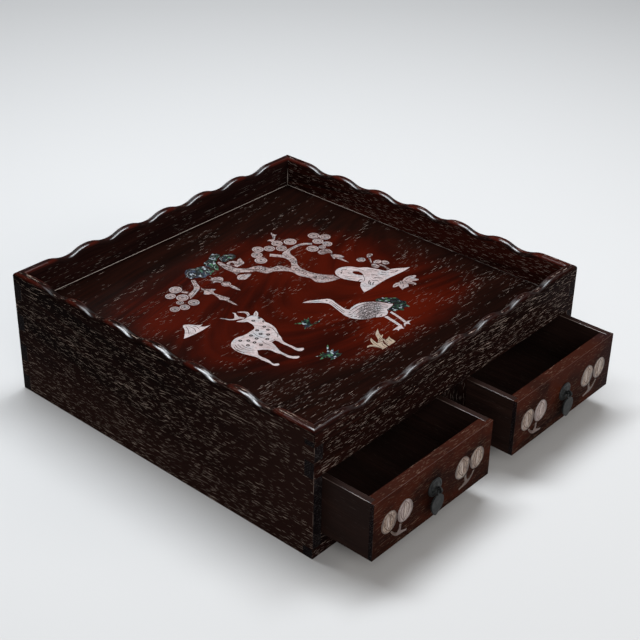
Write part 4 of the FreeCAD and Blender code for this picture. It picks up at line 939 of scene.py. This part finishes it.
# %% Engrave the pine
LEFT_TUFTS = [(-67, 91, 6), (-78.2, 85.8, 4.8), (-72.5, 76, 5.6), (-80.3, 71, 3.4), (-91.5, 65.8, 4.5),
              (-83, 62, 4.6), (-71.5, 62.3, 5.2)]
RIGHT_TUFTS = [(28, 73.6, 6), (33.4, 84, 5.5), (42.2, 91.2, 5.6), (51.2, 84.4, 5.5), (64.2, 86.4, 5.5),
               (59.6, 76.4, 5.3), (75.6, 79.6, 6.3), (101.2, 71.6, 5.8), (107, 61.7, 5.5),
               (95.2, 60.6, 5.4), (97.4, 50.2, 4.8), (80, 54, 6), (88.9, 49.4, 3.5)]


def rosette(graver, x, y, radius, rays=13):
    middle = Vector((x, y))
    graver.rings(0.4, (x, y, radius * 0.73))
    graver.rings(0.7, (x, y, max(radius * 0.14, 0.4)))
    for ray in range(rays):
        turn = 2 * math.pi * ray / rays + x
        reach = Vector((math.cos(turn), math.sin(turn)))
        start = 0.24 if ray % 2 else 0.34
        graver.strip([middle + reach * radius * start, middle + reach * radius * 0.7], 0.5)


for name, tufts in (("left_tuft_lines", LEFT_TUFTS), ("right_tuft_lines", RIGHT_TUFTS)):
    needles = Graver(on_floor)
    for tuft in tufts:
        rosette(needles, *tuft)
    needles.finish(name, "shell_rose")

trunk = Graver(on_floor)
trunk.rings(
    0.5,
    (14.6, 65.4, 2.3), (17, 59.4, 2), (26, 51.4, 1.9), (31.2, 47.6, 1.8), (50.3, 53.4, 1.6),
    (47, 48, 1.5), (-3.8, 90, 1.2), (-3.4, 82, 1.3), (-1.8, 74.5, 1.6), (38.6, 36.5, 1.8),
    (37.8, 26, 1.7), (39.6, 15, 1.8), (44, 6, 1.8), (51, 60.5, 1.5), (-48.5, 84, 1.1), (-56.5, 76.6, 1.1),
)
trunk.lines(
    0.42,
    (-5.4, 77, -5.8, 85, -4.6, 94), (35.2, 32, 36.6, 24, 36, 17, 37.6, 10),
    (41.6, 33, 41.2, 24, 43.4, 16, 47.4, 8), (20.5, 64, 20.2, 58, 24, 54.4), (6, 68.2, 10.5, 67, 13, 62),
    (57, 66.2, 64, 69, 74, 68.8, 82, 66), (46.5, 66, 44, 70, 42.4, 73.6),
    (-52.5, 78, -58, 75.2, -65, 72.4), (-47.4, 86, -45.4, 90.6, -43.8, 92.4),
    (66.5, 94, 71, 97.4, 74.6, 101.5),
)
trunk.finish("trunk_lines", "shell_rose")

crown = Graver(on_floor)
crown.lines(
    0.75,
    (-41.5, 99, -38.5, 103.5, -34, 103.5, -32.5, 99.5, -35.5, 96.5, -38.6, 98),
    (-40, 106, -35, 108, -30, 106.5), (-31, 95, -27.5, 99.5, -28.5, 104.5),
    (-26.5, 93, -23, 97, -23.5, 102), (-21.5, 92, -17.5, 96, -18.5, 101),
    (-16, 93.5, -12.5, 97.5, -13.5, 101.5), (-13, 105.5, -8.5, 107.5, -5, 104.5),
    (-7, 109.5, -2, 111, 1.5, 108), (1, 113.5, 5.5, 112.5, 7.5, 109), (2.5, 101.5, 6.5, 103.5, 9, 100.5),
    (9, 103.5, 13.5, 102.5, 15.5, 98.5), (10, 97.5, 13.5, 95.5, 16.5, 97.5),
    (-25, 106, -21, 104.5, -18, 106),
)
crown.finish("crown_lines", "shell_green")

pale_fill = dark_fill("pale_fill", (0.3, 0.29, 0.29), (0.52, 0.5, 0.49))
crown_edges = Graver(on_floor)
crown_edges.lines(
    0.22,
    (-42.2, 98.5, -40.4, 103.4, -36.6, 106.6, -32, 107.2), (-33.6, 89.6, -32.4, 94, -28.6, 97.4),
    (-27.6, 90.2, -25.6, 94.6, -21.6, 97), (-30.2, 109.2, -27, 105.4, -22.6, 105),
    (-20, 91.2, -19.8, 95.4, -17.8, 98.6), (-14.2, 91.6, -12, 95.8, -9, 97.6),
    (-15, 103.6, -12, 106.6, -7.4, 106.8), (-9.4, 99.6, -6.6, 103.2, -2.8, 105.6),
    (-5, 110.2, -1, 111.6, 3, 110.4), (1.8, 115, 5.4, 114.2, 8, 111.6),
    (1.6, 100.2, 4.4, 103.4, 8.4, 104.8), (4.2, 97.4, 8.4, 99.4, 12.6, 98.6),
    (11.4, 104.6, 15.2, 102.8, 17.4, 99.6), (-22.4, 102, -17.8, 102), (-20.1, 99.8, -20.1, 104.2),
    (-21.8, 100.4, -18.4, 103.6), (-21.8, 103.6, -18.4, 100.4),
)
crown_edges.rings(0.3, (-36.5, 99, 2.1))
crown_edges.finish("crown_edges", "shell_green", fill=pale_fill)
print("pine is engraved")

# %% [markdown]
# The rock, the hill, the hanging sprays and the small plants only have a few strokes each: cracks, veins
# and the middle line of every leaf.

# %% Engrave the rock, the hill and the plants
rock = Graver(on_floor)
rock.lines(
    0.75,
    (65, 4.6, 67.5, 4.8, 69.5, 3, 71.8, 3.4), (61, 0.6, 63.2, 2.8, 65, 2.4),
    (63.6, -30.6, 66.4, -28.4, 69.4, -26.6), (63, -33, 65.4, -30.8, 68.4, -29.4),
    (64.8, -34.6, 67.6, -32.4, 70, -31.8), (74.4, -26.8, 77.4, -27.6, 79.4, -30.6, 81.6, -33.2),
    (82.4, -16.4, 84.2, -17.2), (89.2, -24.2, 90.4, -26.2, 91.6, -28.6),
    (70.6, -29, 73.4, -31.6, 73.8, -34.6), (77.2, -22, 78.6, -24.6), (86, -27.4, 88.6, -30.6),
    (94.6, -31, 98.6, -33.6, 103, -34), (57.6, 0.6, 58.8, 3.6), (72.4, 5.6, 75.6, 3.4),
    (60.6, -20.4, 63.6, -19.6, 66.4, -20.6),
)
rock.lines(
    0.45,
    (75, -13.6, 71, -18.4, 67.6, -22.4, 63.4, -24.2), (57.6, -6, 60, -12, 63.6, -17.6),
    (59, -2, 61.6, -8, 66, -14), (76.4, 1, 79, -5, 79.6, -12), (84, -10, 87, -16, 88.4, -22),
    (58.6, -27, 56.6, -32.4), (62, -26.4, 60.6, -34.6), (72.6, -24, 71.6, -30),
    (84.6, -24, 86.6, -30, 90, -34.4), (97, -28.4, 100, -32, 105, -35.4), (68, -8, 66.4, -5, 67, -2),
    (79, -20, 81, -24, 80.6, -28), (93.6, -28.6, 95.6, -33),
)
rock.finish("rock_lines", "shell_rose")

hill = Graver(on_floor)
hill.lines(
    0.45,
    (-105.6, 37, -108.4, 31, -113, 25.2), (-104, 35, -103, 29, -106.6, 23.6),
    (-101.4, 34, -99.6, 29.6, -101, 24.6), (-97.6, 30.4, -93, 29.8), (-109, 28, -110.6, 24.4),
)
hill.finish("hill_lines", "shell_rose")

plants = Graver(on_floor)
plants.rings(0.45, (95.2, 5.2, 2.7), (-27.3, 65.2, 3.4), (81.5, 41.6, 2.6), (86.4, 41, 2.2))
plants.lines(
    0.45,
    (-48.6, 74, -48, 66, -48.2, 58, -47.4, 50), (-52.6, 68, -48.4, 65.6), (-43, 66.4, -47.4, 65.2),
    (-27.6, 86, -27, 80, -26.6, 73), (-31, 79, -27.2, 77.6), (-23, 77.4, -26.8, 76),
    (-26.8, 59, -26.6, 51), (-12, 63.4, -7, 64.6, -1, 64), (-9.4, 66.6, -6.6, 64.8), (-8, 61, -5.6, 63.8),
    (-3, 67, -3.6, 64.8), (4, 82.8, 9, 84.4, 14.6, 89), (9, 84.4, 12.8, 82.8), (82, 33, 80.4, 28.6),
    (103.8, 3.8, 107, 5, 110.4, 4.9), (97, -5.4, 100, -1.4, 103, 1.2),
    (92.6, -12, 94.6, -10.8, 96.4, -12.2), (100, -8.6, 103, -7.4, 106, -8.6),
    (105, -13.8, 107.4, -14.4, 108.2, -16.8), (98.2, -24, 98.9, -18, 99.8, -14.4), (93, 6, 97, 4.4),
    (94.6, 7.4, 96, 3),
)
plants.finish("plant_lines", "shell_rose")

leaves = Graver(on_floor)
leaves.lines(
    0.5,
    (83.5, -52.6, 85, -51.4, 86.5, -49.8), (85.4, -54, 87, -52.2, 88.8, -50),
    (90, -54.5, 91, -52.4, 91.5, -50.6), (92.5, -50.8, 94.4, -50.6, 96, -51),
    (80.5, -57.5, 82.4, -56.4, 84.5, -55), (76, -50.8, 79, -50.2, 82, -50.6),
    (97, -50.2, 101, -50.6, 104.4, -51.8), (98.4, -56.4, 96.6, -54.8, 95, -53.8),
    (92.6, -61, 92.6, -58.4, 92, -56),
)
leaves.lines(
    0.4,
    (-15, -111, -14.4, -106, -13.4, -101, -11.4, -96.6), (-21.4, -101.2, -18.4, -103.2, -16.6, -106),
    (-11.4, -111.5, -10.6, -107.6, -8, -105.2), (-6.6, -111, -5.4, -106.4, -3.8, -101.4, -0.6, -95.4),
    (-3.8, -110, -3.4, -106, -1.4, -101), (-0.6, -110.5, 0, -107, 2.4, -104.4),
    (-9.2, -102.6, -6, -101.4, -3.6, -98.4),
)
leaves.finish("leaf_lines", "shell_tan")
print("rock, hill and plants are engraved")

# %% [markdown]
# Each fruit has four seams that run down from its crown, and a line along its stalk. The right pair of a
# drawer is the left one seen in a mirror, so one drawing makes all four.

# %% Engrave the fruits
fruit_fill = dark_fill("fruit_fill", (0.075, 0.042, 0.03), (0.19, 0.125, 0.092))


def on_drawer(middle, mirror):
    """A place on a drawer front, where middle is the middle of the front."""
    return lambda x, y, lift: (
        (middle + mirror * (x - pair_from_pull * 1000)) / 1000,
        (drawer_face - lift) / 1000,
        (motif_height + y) / 1000,
    )


for side, middle in (("left", -drawer_middle * 1000), ("right", drawer_middle * 1000)):
    for end, mirror in (("left", 1), ("right", -1)):
        fruits = Graver(on_drawer(middle, mirror))
        for seam in (-4.6, -1.4, 1.8, 4.8):
            fruits.lines(0.48, (-10.8, 8.6, -10.2 + seam, 3, -10 + seam, -3, -8.6, -9))
            fruits.lines(0.48, (9.8, 9.4, 9.8 + seam, 3.4, 9.6 + seam, -2.6, 8.4, -8.8))
        fruits.lines(0.35, (-6.4, -11.6, -3.6, -14.6, 0.6, -17), (7.6, -10.6, 3, -14, 0.8, -17))
        fruits.finish(f"{side}_drawer_fruit_lines_{end}", "shell_tan", f"{side}_drawer", fruit_fill)
print("fruits are engraved")

# %% [markdown]
# A line of old wax has gathered where the floor meets the walls and up the two back corners of the tray.
# Its colour is partly the pale wax and partly a painted highlight: pale along the back, where it catches
# the light, and nearly as dark as the wood in other places.

# %% Run the wax along the floor and up the corners
wax_highlight_finish = Finish("wax_and_painted_highlight")
wax_where = wax_highlight_finish.place()
wax_left = wax_highlight_finish.noise(wax_highlight_finish.point(wax_where[0] * 18, wax_where[1] * 18, 2), 3, 0.6)
# A painted highlight makes the line paler towards the back wall.
highlight_towards_back = wax_highlight_finish.step(wax_where[1], 0.02, 0.21)
wax_and_highlight = wax_highlight_finish.step(wax_left + 0.22 * highlight_towards_back, 0.46, 0.62)
wax_and_painted_highlight = wax_highlight_finish.surface({
    "Base Color": wax_highlight_finish.blend(wax_and_highlight, (0.018, 0.011, 0.009), (0.62, 0.52, 0.46)),
    "Roughness": 0.5 - 0.2 * wax_left,
})

wax_x, wax_back, wax_front = 169.8, 199.3, -140.3
wax = Graver(lambda x, y, lift: (x / 1000, y / 1000, (floor_top + lift) / 1000))
turns = [Vector((x, y)) for x, y in (
    (-wax_x, wax_back), (wax_x, wax_back), (wax_x, wax_front), (-wax_x, wax_front),
)]
for start, end, width in zip(turns, turns[1:] + turns[:1], (0.85, 0.5, 0.5, 0.5)):
    wax.strip([start, end], width, high=0.22)
wax.finish("floor_wax_line", "tray_floor_rosewood", fill=wax_and_painted_highlight)


def up_the_corner(side):
    """A place in a back corner, where y is the height and x turns from one wall to the other."""
    return lambda x, y, lift: (side * (wax_x - lift + x) / 1000, (wax_back - lift - x) / 1000, y / 1000)


for side, end in ((1, "right"), (-1, "left")):
    corner_wax = Graver(up_the_corner(side))
    corner_wax.strip([Vector((0, height)) for height in (92.4, 100, 110.5)], 0.3, high=0.12)
    corner_wax.finish(f"corner_wax_line_{end}", "tray_floor_rosewood", fill=wax_and_painted_highlight)
print("wax is laid")

# %% [markdown]
# The pulls are old brass that has gone dark grey, rubbed paler on its raised parts.

# %% Age the brass
brass = Finish("aged_brass")
brass_where = brass.place()
grime = brass.cloud(brass_where, 320, 4, 0.65)
proud = brass.step(brass_where[1], -0.2075, -0.2015)
dress(
    brass.surface({
        "Base Color": brass.blend(
            brass.step(grime, 0.4, 0.68), (0.014, 0.015, 0.016), (0.046, 0.048, 0.047)
        ),
        "Metallic": 0.6 - 0.4 * brass.step(grime, 0.55, 0.75) * proud,
        "Roughness": 0.42 + 0.3 * grime,
        "Normal": brass.bumps(grime, 0.00012, 0.5),
    }),
    *both_drawers("pull_plate", "split_pin", "pull_drop"),
)
print("brass is aged")
